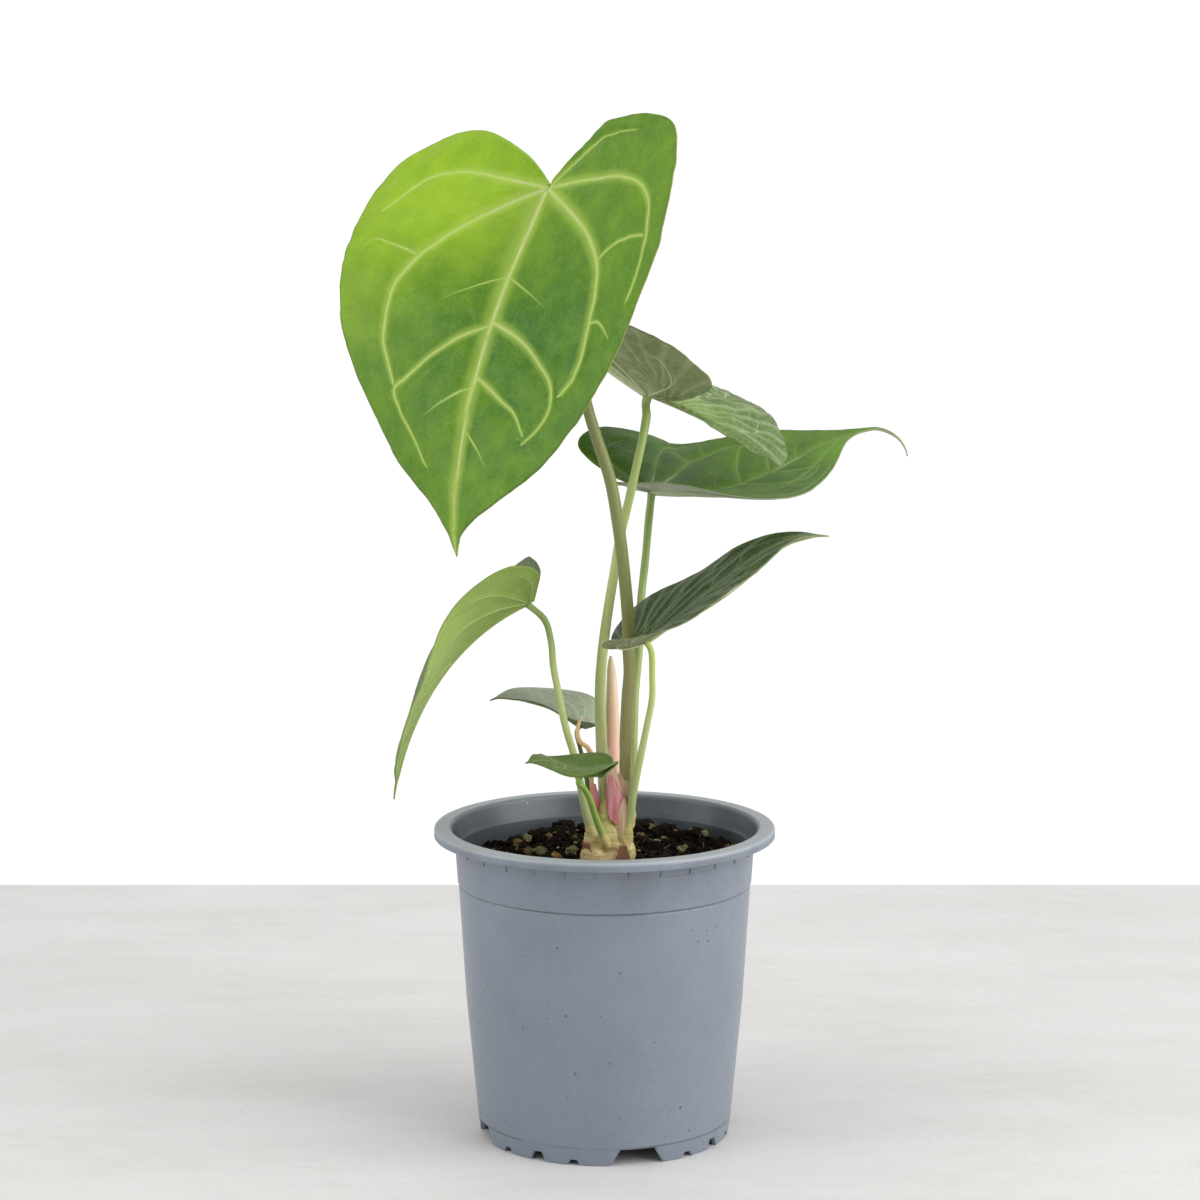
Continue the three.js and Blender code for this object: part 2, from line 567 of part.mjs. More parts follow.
function soilGeometry() {
  const random = seededRandom(LUMPS.seed);
  const lumps = [];
  for (let i = 0; i < LUMPS.count; i += 1) {
    const radius = (POT.mouthRadius - LUMPS.inset) * Math.sqrt(random());
    const angle = 2 * Math.PI * random();
    const size = LUMPS.size + LUMPS.sizeMore * random();
    const sign = random() < LUMPS.hollowShare ? -1 : 1;
    const height = sign * (LUMPS.height + LUMPS.heightMore * random());
    lumps.push({ x: radius * Math.cos(angle), y: radius * Math.sin(angle), size, height });
  }
  const positions = [];
  const faces = [];
  const edge = potInnerRadius(SOIL_LEVEL) - GAP;
  positions.push(0, 0, soilHeight(lumps, 0, 0));
  for (let ring = 1; ring <= SOIL_RINGS; ring += 1) {
    for (let side = 0; side < SOIL_SIDES; side += 1) {
      const angle = (2 * Math.PI * side) / SOIL_SIDES;
      const radius = (edge * ring) / SOIL_RINGS;
      const x = radius * Math.cos(angle);
      const y = radius * Math.sin(angle);
      positions.push(x, y, ring === SOIL_RINGS ? SOIL_LEVEL : soilHeight(lumps, x, y));
    }
  }
  const floor = POT.baseHeight + POT.wall + GAP;
  const waist = [POT.bellyHeight, floor];
  waist.forEach((height) => {
    for (let side = 0; side < SOIL_SIDES; side += 1) {
      const angle = (2 * Math.PI * side) / SOIL_SIDES;
      const radius = potInnerRadius(height) - GAP;
      positions.push(radius * Math.cos(angle), radius * Math.sin(angle), height);
    }
  });
  positions.push(0, 0, floor);
  const rings = SOIL_RINGS + waist.length;
  const at = (ring, side) => 1 + (ring - 1) * SOIL_SIDES + (side % SOIL_SIDES);
  const bottom = positions.length / 3 - 1;
  for (let side = 0; side < SOIL_SIDES; side += 1) {
    faces.push(0, at(1, side), at(1, side + 1));
    for (let ring = 1; ring < rings; ring += 1) {
      faces.push(at(ring, side), at(ring + 1, side), at(ring + 1, side + 1));
      faces.push(at(ring, side), at(ring + 1, side + 1), at(ring, side + 1));
    }
    faces.push(bottom, at(rings, side + 1), at(rings, side));
  }
  const hole = crownHole();
  return fromManifold(toManifold(closedGeometry(positions, faces)).subtract(hole));
}

// Plain hole in the soil that the foot of the crown stands in
function crownHole() {
  const depth = POT.height - CROWN.footHeight;
  const radius = CROWN.neckRadius + GAP + CLEARANCE;
  const hole = new THREE.CylinderGeometry(radius, radius, depth, CROWN.sides).rotateX(Math.PI / 2)
    .translate(CROWN.x, CROWN.y, CROWN.footHeight - GAP + depth / 2);
  return toManifold(hole);
}

// Crown: a bulbous short stem with a stump for each petiole and for the new shoot
function crownGeometry() {
  const profile = [
    [0, CROWN.footHeight],
    [CROWN.neckRadius - CROWN.footChamfer, CROWN.footHeight],
    [CROWN.neckRadius, CROWN.footHeight + 2 * CROWN.footChamfer],
    [CROWN.neckRadius, CROWN.neckHeight],
    [CROWN.bellyRadius, CROWN.neckHeight + 3],
    [CROWN.bellyRadius - 0.5, CROWN.neckHeight + 6],
    [CROWN.bellyRadius - 2.5, CROWN.neckHeight + 9.5],
    [CROWN.bellyRadius - 5.5, CROWN.topHeight - 1],
    [0, CROWN.topHeight],
  ];
  const bulb = turned(profile, CROWN.sides).translate(CROWN.x, CROWN.y, 0);
  let crown = toManifold(bulb);
  const stems = [...Object.values(PETIOLES), SHOOT, DRIED];
  stems.forEach(({ route, radii }) => {
    const [foot, next] = route.map(point);
    const lean = next.clone().sub(foot).normalize();
    const top = foot.clone().addScaledVector(lean, -GAP);
    const heart = new THREE.Vector3(CROWN.x, CROWN.y, CROWN.neckHeight).lerp(top, STUMP.start);
    const below = top.clone().addScaledVector(lean, -STUMP.straight);
    const stumpRoute = [heart.toArray(), below.toArray(), top.toArray()];
    const stumpRadii = [STUMP.flareFoot, STUMP.flareMiddle, STUMP.flareTop].map((flare) => flare * radii[0]);
    const stump = tubeGeometry(stumpRoute, stumpRadii, STUMP.sides, STUMP.straight);
    crown = crown.add(toManifold(stump));
  });
  return fromManifold(crown);
}

// Papery sheath: a pointed strip bent round an upright axis, as a closed shell
function sheathGeometry(sheath) {
  const columns = SHEATH_COLUMNS;
  const rows = SHEATH_ROWS;
  const positions = [];
  const faces = [];
  [SHEATH_THICKNESS / 2, -SHEATH_THICKNESS / 2].forEach((offset) => {
    for (let row = 0; row <= rows; row += 1) {
      const share = row / rows;
      const width = Math.max(SHEATH_POINT_WIDTH, Math.cos((share * Math.PI) / 2) ** SHEATH_TAPER);
      const middle = 0.5 + sheath.lean * share;
      for (let column = 0; column <= columns; column += 1) {
        const across = middle + (column / columns - 0.5) * width;
        const angle = degrees(THREE.MathUtils.lerp(sheath.from, sheath.to, across));
        const radius = sheath.radius + offset;
        const height = THREE.MathUtils.lerp(sheath.foot, sheath.point, share);
        positions.push(sheath.x + radius * Math.cos(angle), sheath.y + radius * Math.sin(angle), height);
      }
    }
  });
  const half = (rows + 1) * (columns + 1);
  const at = (layer, row, column) => layer * half + row * (columns + 1) + column;
  const quad = (a, b, c, d) => faces.push(a, b, c, a, c, d);
  for (let row = 0; row < rows; row += 1) {
    for (let column = 0; column < columns; column += 1) {
      quad(at(0, row, column), at(0, row, column + 1), at(0, row + 1, column + 1), at(0, row + 1, column));
      faces.push(at(1, row, column), at(1, row + 1, column + 1), at(1, row, column + 1));
      faces.push(at(1, row, column), at(1, row + 1, column), at(1, row + 1, column + 1));
    }
    quad(at(0, row, 0), at(0, row + 1, 0), at(1, row + 1, 0), at(1, row, 0));
    quad(at(0, row, columns), at(1, row, columns), at(1, row + 1, columns), at(0, row + 1, columns));
  }
  for (let column = 0; column < columns; column += 1) {
    quad(at(0, 0, column), at(1, 0, column), at(1, 0, column + 1), at(0, 0, column + 1));
    quad(at(0, rows, column), at(0, rows, column + 1), at(1, rows, column + 1), at(1, rows, column));
  }
  return closedGeometry(positions, faces);
}

function piece(name, geometry, colour, roughness) {
  const material = new THREE.MeshStandardMaterial({ color: colour, roughness, metalness: 0 });
  const mesh = new THREE.Mesh(geometry, material);
  mesh.name = name;
  return mesh;
}

const group = new THREE.Group();
group.add(piece('pot', potGeometry(), 0x7d858f, 0.45));
group.add(piece('soil', soilGeometry(), 0x33261c, 0.95));
group.add(piece('crown', crownGeometry(), 0xa9a377, 0.6));
Object.entries(PETIOLES).forEach(([name, petiole]) => {
  const geometry = tubeGeometry(petioleRoute(petiole), petiole.radii, PETIOLE_SIDES, PETIOLE_STEP);
  group.add(piece(name, geometry, petiole.colour, 0.5));
});
Object.entries(LEAVES).forEach(([name, leaf]) => {
  group.add(piece(name, bladeGeometry(leaf), leaf.colour, 0.5));
});
const shoot = tubeGeometry(SHOOT.route, SHOOT.radii, PETIOLE_SIDES, PETIOLE_STEP);
group.add(piece('new_shoot', shoot, 0xb99a83, 0.5));
const dried = tubeGeometry(DRIED.route, DRIED.radii, DRIED.sides, DRIED.step);
group.add(piece('dried_bract', dried, 0xc08a55, 0.8));
Object.entries(SHEATHS).forEach(([name, sheath]) => {
  group.add(piece(name, sheathGeometry(sheath), sheath.colour, 0.8));
});

// The origin lies under the middle of the whole plant, on the surface that the pot stands on
const middle = new THREE.Box3().setFromObject(group, true).getCenter(new THREE.Vector3());
group.children.forEach((mesh) => mesh.position.set(-middle.x, -middle.y, 0));

export default group;
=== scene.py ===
"""Looks of a potted anthurium: seven heart-shaped leaves, a short crown, peat and a nursery pot.

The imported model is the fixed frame. Sizes and places of the plant are in millimetres from the
pot's axis and the surface it stands on, and they become metres where a mesh is made.
"""

from __future__ import annotations

import logging
import math
import random
from dataclasses import dataclass, field
from enum import Enum
from functools import partial, reduce
from typing import Callable, Sequence

import bmesh
import bpy
import numpy as np
from mathutils import Matrix, Vector, noise


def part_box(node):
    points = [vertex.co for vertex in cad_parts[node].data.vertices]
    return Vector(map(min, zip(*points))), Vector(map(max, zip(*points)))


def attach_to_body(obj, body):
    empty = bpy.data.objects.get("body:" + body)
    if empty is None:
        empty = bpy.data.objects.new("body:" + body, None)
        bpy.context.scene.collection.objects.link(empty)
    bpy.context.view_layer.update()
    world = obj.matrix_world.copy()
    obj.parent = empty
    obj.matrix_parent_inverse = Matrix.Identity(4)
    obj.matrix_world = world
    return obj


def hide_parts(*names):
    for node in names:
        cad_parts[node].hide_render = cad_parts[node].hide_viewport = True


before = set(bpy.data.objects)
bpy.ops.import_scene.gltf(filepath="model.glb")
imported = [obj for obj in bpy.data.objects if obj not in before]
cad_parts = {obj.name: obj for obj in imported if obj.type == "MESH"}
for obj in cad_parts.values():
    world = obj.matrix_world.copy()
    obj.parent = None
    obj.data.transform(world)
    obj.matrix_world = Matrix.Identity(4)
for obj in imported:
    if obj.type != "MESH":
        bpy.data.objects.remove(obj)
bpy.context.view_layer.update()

LOG = logging.getLogger("potted_anthurium")
MM = 0.001
BODY = "root"

Colour = tuple[float, float, float, float]
Point = tuple[float, float, float]
Mesh = bmesh.types.BMesh
Material = bpy.types.Material
Node = bpy.types.Node
Piece = bpy.types.Object
Socket = bpy.types.NodeSocket
Tree = bpy.types.NodeTree
Array = np.ndarray
Formula = Callable[[Array, Array], Array]


def pot_axis() -> Vector:
    """Gives the place of the pot's axis in the frame, in millimetres."""
    low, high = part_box("pot")
    return Vector(((low.x + high.x) / 2, (low.y + high.y) / 2, 0)) / MM


AXIS = pot_axis()


class Side(Enum):
    """The two halves of a blade, as the leaf itself has them."""

    RIGHT = 1
    LEFT = -1


class VeinOrder(Enum):
    """Families of veins. Within one family the veins lie in order and never cross."""

    BASAL = "basal"
    LATERAL = "lateral"
    BRANCH = "branch"


class Lump(Enum):
    """Colours of the lumps that lie on the peat."""

    GREEN = "green"
    TAN = "tan"
    DARK = "dark"
    OCHRE = "ochre"


def rgb(red: int, green: int, blue: int) -> Colour:
    """Turns a display colour into the linear colour that shaders take.

    Args:
        red: Red, 0 to 255.
        green: Green, 0 to 255.
        blue: Blue, 0 to 255.

    Returns:
        The linear colour with full alpha.
    """
    shares = [value / 255 for value in (red, green, blue)]
    parts = [s / 12.92 if s <= 0.04045 else ((s + 0.055) / 1.055) ** 2.4 for s in shares]
    return (*parts, 1.0)


class NodeBench:
    """Adds and joins the nodes of one material, world or group."""

    MIX_INPUTS = (0, 6, 7)
    MIX_RESULT = 2

    def __init__(self, tree: Tree) -> None:
        """Takes the tree that the nodes go into."""
        self.tree = tree

    def feed(self, socket: Socket, value: object) -> None:
        """Links a socket to another one, or sets it.

        Args:
            socket: The input to fill.
            value: An output socket, a number, a colour or a vector.
        """
        if isinstance(value, Socket):
            self.tree.links.new(value, socket)
        else:
            socket.default_value = value

    def add(self, kind: str, inputs: dict[str, object] | None = None, **settings: object) -> Node:
        """Adds one node.

        Args:
            kind: The node's type name.
            inputs: Input names with their values or links.
            **settings: Properties of the node.

        Returns:
            The new node.
        """
        node = self.tree.nodes.new(kind)
        for name, value in settings.items():
            setattr(node, name, value)
        for name, value in (inputs or {}).items():
            self.feed(node.inputs[name], value)
        return node

    def math(self, operation: str, *values: object, clamp: bool = False) -> Socket:
        """Adds a Math node.

        Args:
            operation: What it works out.
            *values: Its inputs in order.
            clamp: Whether the result is held between 0 and 1.

        Returns:
            The result.
        """
        node = self.add("ShaderNodeMath", operation=operation, use_clamp=clamp)
        for socket, value in zip(node.inputs, values):
            self.feed(socket, value)
        return node.outputs[0]

    def times(self, first: object, second: object) -> Socket:
        """Multiplies two values."""
        return self.math("MULTIPLY", first, second)

    def plus(self, first: object, second: object, clamp: bool = False) -> Socket:
        """Adds two values."""
        return self.math("ADD", first, second, clamp=clamp)

    def scaled(self, value: object, factor: float, offset: float) -> Socket:
        """Multiplies a value by a factor and adds an offset."""
        return self.math("MULTIPLY_ADD", value, factor, offset)

    def blend(self, factor: object, first: object, second: object) -> Socket:
        """Mixes two colours.

        Args:
            factor: Share of the second colour.
            first: Colour where the factor is 0.
            second: Colour where the factor is 1.

        Returns:
            The mixed colour.
        """
        node = self.add("ShaderNodeMix", data_type="RGBA", blend_type="MIX")
        for index, value in zip(self.MIX_INPUTS, (factor, first, second)):
            self.feed(node.inputs[index], value)
        return node.outputs[self.MIX_RESULT]

    def cover(self, body: object, colour: object, mask: object, share: float) -> Socket:
        """Covers a body colour with another colour where a mask shows, up to a share."""
        return self.blend(self.times(mask, share), body, colour)

    def smooth(self, value: object, low: object, high: object) -> Socket:
        """Returns 0 below low, 1 above high, and a smooth step between them."""
        sockets = {"Value": value, "From Min": low, "From Max": high}
        return self.add("ShaderNodeMapRange", sockets, interpolation_type="SMOOTHSTEP").outputs["Result"]

    def fade(self, value: object, low: object, high: object) -> Socket:
        """Returns 1 below low, 0 above high, and a smooth step between them."""
        return self.math("SUBTRACT", 1.0, self.smooth(value, low, high))

    def field(self, name: str) -> Socket:
        """Returns a number that the mesh holds under this name."""
        return self.add("ShaderNodeAttribute", attribute_name=name).outputs["Fac"]

    def place(self) -> Socket:
        """Returns the Object coordinates, in metres."""
        return self.add("ShaderNodeTexCoord").outputs["Object"]

    def stretched(self, scale: Point) -> Socket:
        """Returns the Object coordinates, each axis scaled."""
        return self.add("ShaderNodeMapping", {"Vector": self.place(), "Scale": scale}).outputs[0]

    def height(self) -> Socket:
        """Returns the height over the surface that the pot stands on, in metres."""
        return self.add("ShaderNodeSeparateXYZ", {"Vector": self.place()}).outputs["Z"]

    def use(self, effect: Tree, **inputs: object) -> Node:
        """Places a shared effect with its own values; an underscore stands for a blank."""
        named = {name.replace("_", " "): value for name, value in inputs.items()}
        return self.add("ShaderNodeGroup", named, node_tree=effect)

    def mottle(self, vector: Socket, scale: float, sharpness: float) -> Socket:
        """Places soft blotches between 0 and 1."""
        return self.use(MOTTLE, Vector=vector, Scale=scale, Sharpness=sharpness).outputs["Value"]

    def specks(self, vector: Socket, scale: float, amount: float) -> Socket:
        """Places round specks and returns their mask."""
        return self.use(SPECKS, Vector=vector, Scale=scale, Amount=amount).outputs["Mask"]

    def grain(self, vector: Socket, scale: float) -> Socket:
        """Places a fine grain and returns its height."""
        return self.use(GRAIN, Vector=vector, Scale=scale).outputs["Height"]

    def bump(self, height: object, distance: float, strength: float) -> Socket:
        """Returns the normal that a height, in shares of a distance in millimetres, gives."""
        sockets = {"Height": height, "Distance": distance * MM, "Strength": strength}
        return self.add("ShaderNodeBump", sockets).outputs["Normal"]

    def finish(self, **inputs: object) -> None:
        """Ends a material in one Principled shader.

        Args:
            **inputs: Input names, with underscores for blanks, and their values or links.
        """
        shader = self.add("ShaderNodeBsdfPrincipled")
        for name, value in inputs.items():
            self.feed(shader.inputs[name.replace("_", " ")], value)
        self.add("ShaderNodeOutputMaterial", {"Surface": shader.outputs["BSDF"]})


def new_effect(name: str, inputs: Sequence[str], outputs: Sequence[str]) -> tuple[NodeBench, dict, dict]:
    """Starts a shared node group.

    Args:
        name: The group's name.
        inputs: Names of its inputs; "Vector" is a vector and the others are numbers.
        outputs: Names of its outputs, all numbers.

    Returns:
        The bench for the group's nodes, the sockets that read its inputs, and those that end it.
    """
    tree = bpy.data.node_groups.new(name, "ShaderNodeTree")
    for label in inputs:
        kind = "NodeSocketVector" if label == "Vector" else "NodeSocketFloat"
        tree.interface.new_socket(name=label, in_out="INPUT", socket_type=kind)
    for label in outputs:
        tree.interface.new_socket(name=label, in_out="OUTPUT", socket_type="NodeSocketFloat")
    bench = NodeBench(tree)
    inlet = bench.add("NodeGroupInput")
    outlet = bench.add("NodeGroupOutput")
    return bench, inlet.outputs, outlet.inputs


THINNEST_VEIN = 0.02
CLEAR_VEIN = 0.14


def vein_effect() -> Tree:
    """Makes the effect that turns a distance and a half width into a vein and its pale halo."""
    bench, inlet, outlet = new_effect("vein_line", ("Distance", "Half Width"), ("Line", "Halo"))
    away = bench.math("ABSOLUTE", inlet["Distance"])
    ratio = bench.math("DIVIDE", away, bench.math("MAXIMUM", inlet["Half Width"], THINNEST_VEIN))
    present = bench.smooth(inlet["Half Width"], THINNEST_VEIN, CLEAR_VEIN)
    bench.feed(outlet["Line"], bench.times(bench.fade(ratio, 0.25, 1.75), present))
    bench.feed(outlet["Halo"], bench.times(bench.fade(ratio, 0.6, 6.0), present))
    return bench.tree


def mottle_effect() -> Tree:
    """Makes soft blotches between 0 and 1; Scale is in blotches a metre."""
    bench, inlet, outlet = new_effect("mottle", ("Vector", "Scale", "Sharpness"), ("Value",))
    sockets = {"Vector": inlet["Vector"], "Scale": inlet["Scale"], "Detail": 5.0, "Roughness": 0.6}
    cloud = bench.add("ShaderNodeTexNoise", sockets).outputs["Fac"]
    half_range = bench.math("DIVIDE", 0.25, bench.math("MAXIMUM", inlet["Sharpness"], 0.1))
    low = bench.math("SUBTRACT", 0.5, half_range)
    high = bench.plus(0.5, half_range)
    bench.feed(outlet["Value"], bench.smooth(cloud, low, high))
    return bench.tree


SMALLEST_CHANCE = 0.35


def speck_effect() -> Tree:
    """Makes round specks of uneven size; Amount is the largest one's radius in cells."""
    bench, inlet, outlet = new_effect("specks", ("Vector", "Scale", "Amount"), ("Mask",))
    cells = bench.add("ShaderNodeTexVoronoi", {"Vector": inlet["Vector"], "Scale": inlet["Scale"]})
    chance = bench.add("ShaderNodeSeparateColor", {"Color": cells.outputs["Color"]}).outputs["Red"]
    radius = bench.times(inlet["Amount"], bench.math("POWER", chance, 4.0))
    inner = bench.times(radius, 0.6)
    outer = bench.plus(radius, 0.001)
    mask = bench.fade(cells.outputs["Distance"], inner, outer)
    bench.feed(outlet["Mask"], bench.times(mask, bench.math("GREATER_THAN", chance, SMALLEST_CHANCE)))
    return bench.tree


NET_SWAY = (0.004, 0.004, 0.0)
NET_LINE = 0.11


def net_effect() -> Tree:
    """Makes the fine closed net between the veins; Value is 1 on its lines."""
    bench, inlet, outlet = new_effect("fine_net", ("Vector", "Scale"), ("Value",))
    sway_inputs = {"Vector": inlet["Vector"], "Scale": bench.times(inlet["Scale"], 0.6)}
    sway = bench.add("ShaderNodeTexNoise", sway_inputs).outputs["Color"]
    bent = bench.add("ShaderNodeVectorMath", operation="MULTIPLY_ADD")
    for socket, value in zip(bent.inputs, (sway, NET_SWAY, inlet["Vector"])):
        bench.feed(socket, value)
    cell_inputs = {"Vector": bent.outputs[0], "Scale": inlet["Scale"]}
    cells = bench.add("ShaderNodeTexVoronoi", cell_inputs, feature="DISTANCE_TO_EDGE")
    bench.feed(outlet["Value"], bench.fade(cells.outputs["Distance"], 0.0, NET_LINE))
    return bench.tree


def grain_effect() -> Tree:
    """Makes a fine grain height between 0 and 1 for skins and moulded plastic."""
    bench, inlet, outlet = new_effect("fine_grain", ("Vector", "Scale"), ("Height",))
    sockets = {"Vector": inlet["Vector"], "Scale": inlet["Scale"], "Detail": 3.0}
    coarse = bench.add("ShaderNodeTexNoise", sockets).outputs["Fac"]
    cell_inputs = {"Vector": inlet["Vector"], "Scale": bench.times(inlet["Scale"], 1.7)}
    cells = bench.add("ShaderNodeTexVoronoi", cell_inputs).outputs["Distance"]
    bench.feed(outlet["Height"], bench.plus(coarse, bench.times(cells, 0.5)))
    return bench.tree


VEIN_LINE = vein_effect()
MOTTLE = mottle_effect()
SPECKS = speck_effect()
FINE_NET = net_effect()
GRAIN = grain_effect()


def new_material(name: str) -> tuple[Material, NodeBench]:
    """Starts a material with an empty node tree and returns it with its bench."""
    material = bpy.data.materials.new(name)
    material.use_nodes = True
    material.node_tree.nodes.clear()
    return material, NodeBench(material.node_tree)


@dataclass(frozen=True)
class BladeFinish:
    """Colours and skin of a leaf blade, upper and under side.

    Attributes:
        name: Start of the two materials' names.
        shade: Upper side where the tone is low.
        light: Upper side where the tone is high.
        vein: Veins of the upper side.
        under_shade: Underside where the tone is low.
        under_light: Underside where the tone is high.
        under_vein: Veins of the underside.
        roughness: Roughness of the surface.
        line: How clearly the veins show.
        halo: How far the paler halo along the veins shows.
        net: How clearly the fine net shows.
        fan: How clearly the pale lines of the fine side veins show; on quilted blades they also stand for
            painted sheen on the ridges.
        fan_spread: Half width of a fine side vein, in shares of their distance.
        glow: Share of light that passes through the blade.
    """

    name: str
    shade: Colour
    light: Colour
    vein: Colour
    under_shade: Colour
    under_light: Colour
    under_vein: Colour
    roughness: float = 0.45
    line: float = 0.9
    halo: float = 0.3
    net: float = 0.06
    fan: float = 0.0
    fan_spread: float = 0.12
    glow: float = 0.12

    MARGIN = rgb(96, 104, 58)
    MARGIN_START = 0.985
    MARGIN_END = 0.999

    def _skin(self, suffix: str, shade: Colour, light: Colour, vein: Colour, line: float) -> Material:
        """Makes the material of one side.

        Args:
            suffix: End of the material's name.
            shade: Colour where the tone is low.
            light: Colour where the tone is high.
            vein: Colour of the veins.
            line: How clearly the veins show.

        Returns:
            The material.
        """
        material, bench = new_material(f"{self.name}_{suffix}")
        plane = bench.add("ShaderNodeUVMap", uv_map="blade").outputs["UV"]
        blotch = bench.mottle(plane, 9.0, 0.7)
        speckle = bench.mottle(plane, 70.0, 0.8)
        # The tone field carries painted light and shade from the blade's patches; the blotches add tone of
        # the leaf's own.
        tone = bench.plus(bench.field("tone"), bench.scaled(blotch, 0.34, -0.17))
        tone = bench.plus(tone, bench.scaled(speckle, 0.08, -0.04), clamp=True)
        body = bench.blend(tone, shade, light)

        lines, halos = [], []
        pairs = [("across", "midrib_width")] + [(o.value, f"{o.value}_width") for o in VeinOrder]
        for distance, width in pairs:
            effect = bench.use(VEIN_LINE, Distance=bench.field(distance), Half_Width=bench.field(width))
            lines.append(effect.outputs["Line"])
            halos.append(effect.outputs["Halo"])
        clear = reduce(partial(bench.math, "MAXIMUM"), lines)
        soft = reduce(partial(bench.math, "MAXIMUM"), halos)

        net = bench.use(FINE_NET, Vector=plane, Scale=42.0).outputs["Value"]
        phase = bench.math("FRACT", bench.field("fan"))
        away = bench.math("ABSOLUTE", bench.math("SUBTRACT", phase, 0.5))
        body = bench.cover(body, bench.blend(0.45, light, vein), soft, self.halo)
        body = bench.cover(body, vein, net, self.net)
        # Pale lines along the fine side veins: the veins themselves, and painted sheen on the ridges of
        # quilted blades.
        body = bench.cover(body, vein, bench.fade(away, 0.0, self.fan_spread), self.fan)
        body = bench.cover(body, vein, clear, line)
        rim = bench.smooth(bench.field("share"), self.MARGIN_START, self.MARGIN_END)
        body = bench.cover(body, self.MARGIN, rim, 0.4)

        relief = bench.plus(bench.times(bench.grain(plane, 260.0), 0.16), bench.times(net, -0.5))
        relief = bench.plus(relief, bench.times(clear, 0.5))
        rough = bench.scaled(speckle, 0.12, self.roughness - 0.06)
        bench.finish(
            Base_Color=body,
            Roughness=rough,
            Normal=bench.bump(relief, 0.12, 0.6),
            Specular_IOR_Level=0.28,
            Subsurface_Weight=self.glow,
            Subsurface_Radius=(0.6, 1.0, 0.25),
            Subsurface_Scale=0.0012,
        )
        return material

    def upper(self) -> Material:
        """Makes the upper side's material."""
        return self._skin("upper", self.shade, self.light, self.vein, self.line)

    def under(self) -> Material:
        """Makes the underside's material."""
        return self._skin("under", self.under_shade, self.under_light, self.under_vein, self.line * 0.8)


@dataclass(frozen=True)
class StalkFinish:
    """Colours of a leaf stalk at its foot, half way and under the blade.

    Attributes:
        low: Height of the foot, mm.
        high: Height of the top, mm.
        fleck: Colour of the fine flecks.
        flecks: How clearly they show.
    """

    name: str
    foot: Colour
    middle: Colour
    top: Colour
    low: float
    high: float
    fleck: Colour
    flecks: float = 0.3

    def material(self) -> Material:
        """Makes the stalk's material."""
        material, bench = new_material(self.name)
        rise = bench.math("SUBTRACT", bench.height(), self.low * MM)
        share = bench.math("DIVIDE", rise, (self.high - self.low) * MM, clamp=True)
        lower = bench.blend(bench.smooth(share, 0.0, 0.45), self.foot, self.middle)
        body = bench.blend(bench.smooth(share, 0.55, 1.0), lower, self.top)
        long_grain = bench.stretched((1.0, 1.0, 0.12))
        streak = bench.mottle(long_grain, 1100.0, 0.9)
        body = bench.cover(body, self.fleck, streak, self.flecks)
        body = bench.cover(body, self.middle, bench.mottle(bench.place(), 140.0, 0.8), 0.25)
        skin = bench.grain(long_grain, 2400.0)
        bench.finish(
            Base_Color=body,
            Roughness=bench.scaled(streak, 0.12, 0.36),
            Normal=bench.bump(skin, 0.08, 0.5),
            Specular_IOR_Level=0.45,
            Subsurface_Weight=0.15,
            Subsurface_Radius=(0.7, 1.0, 0.3),
            Subsurface_Scale=0.0015,
        )
        return material


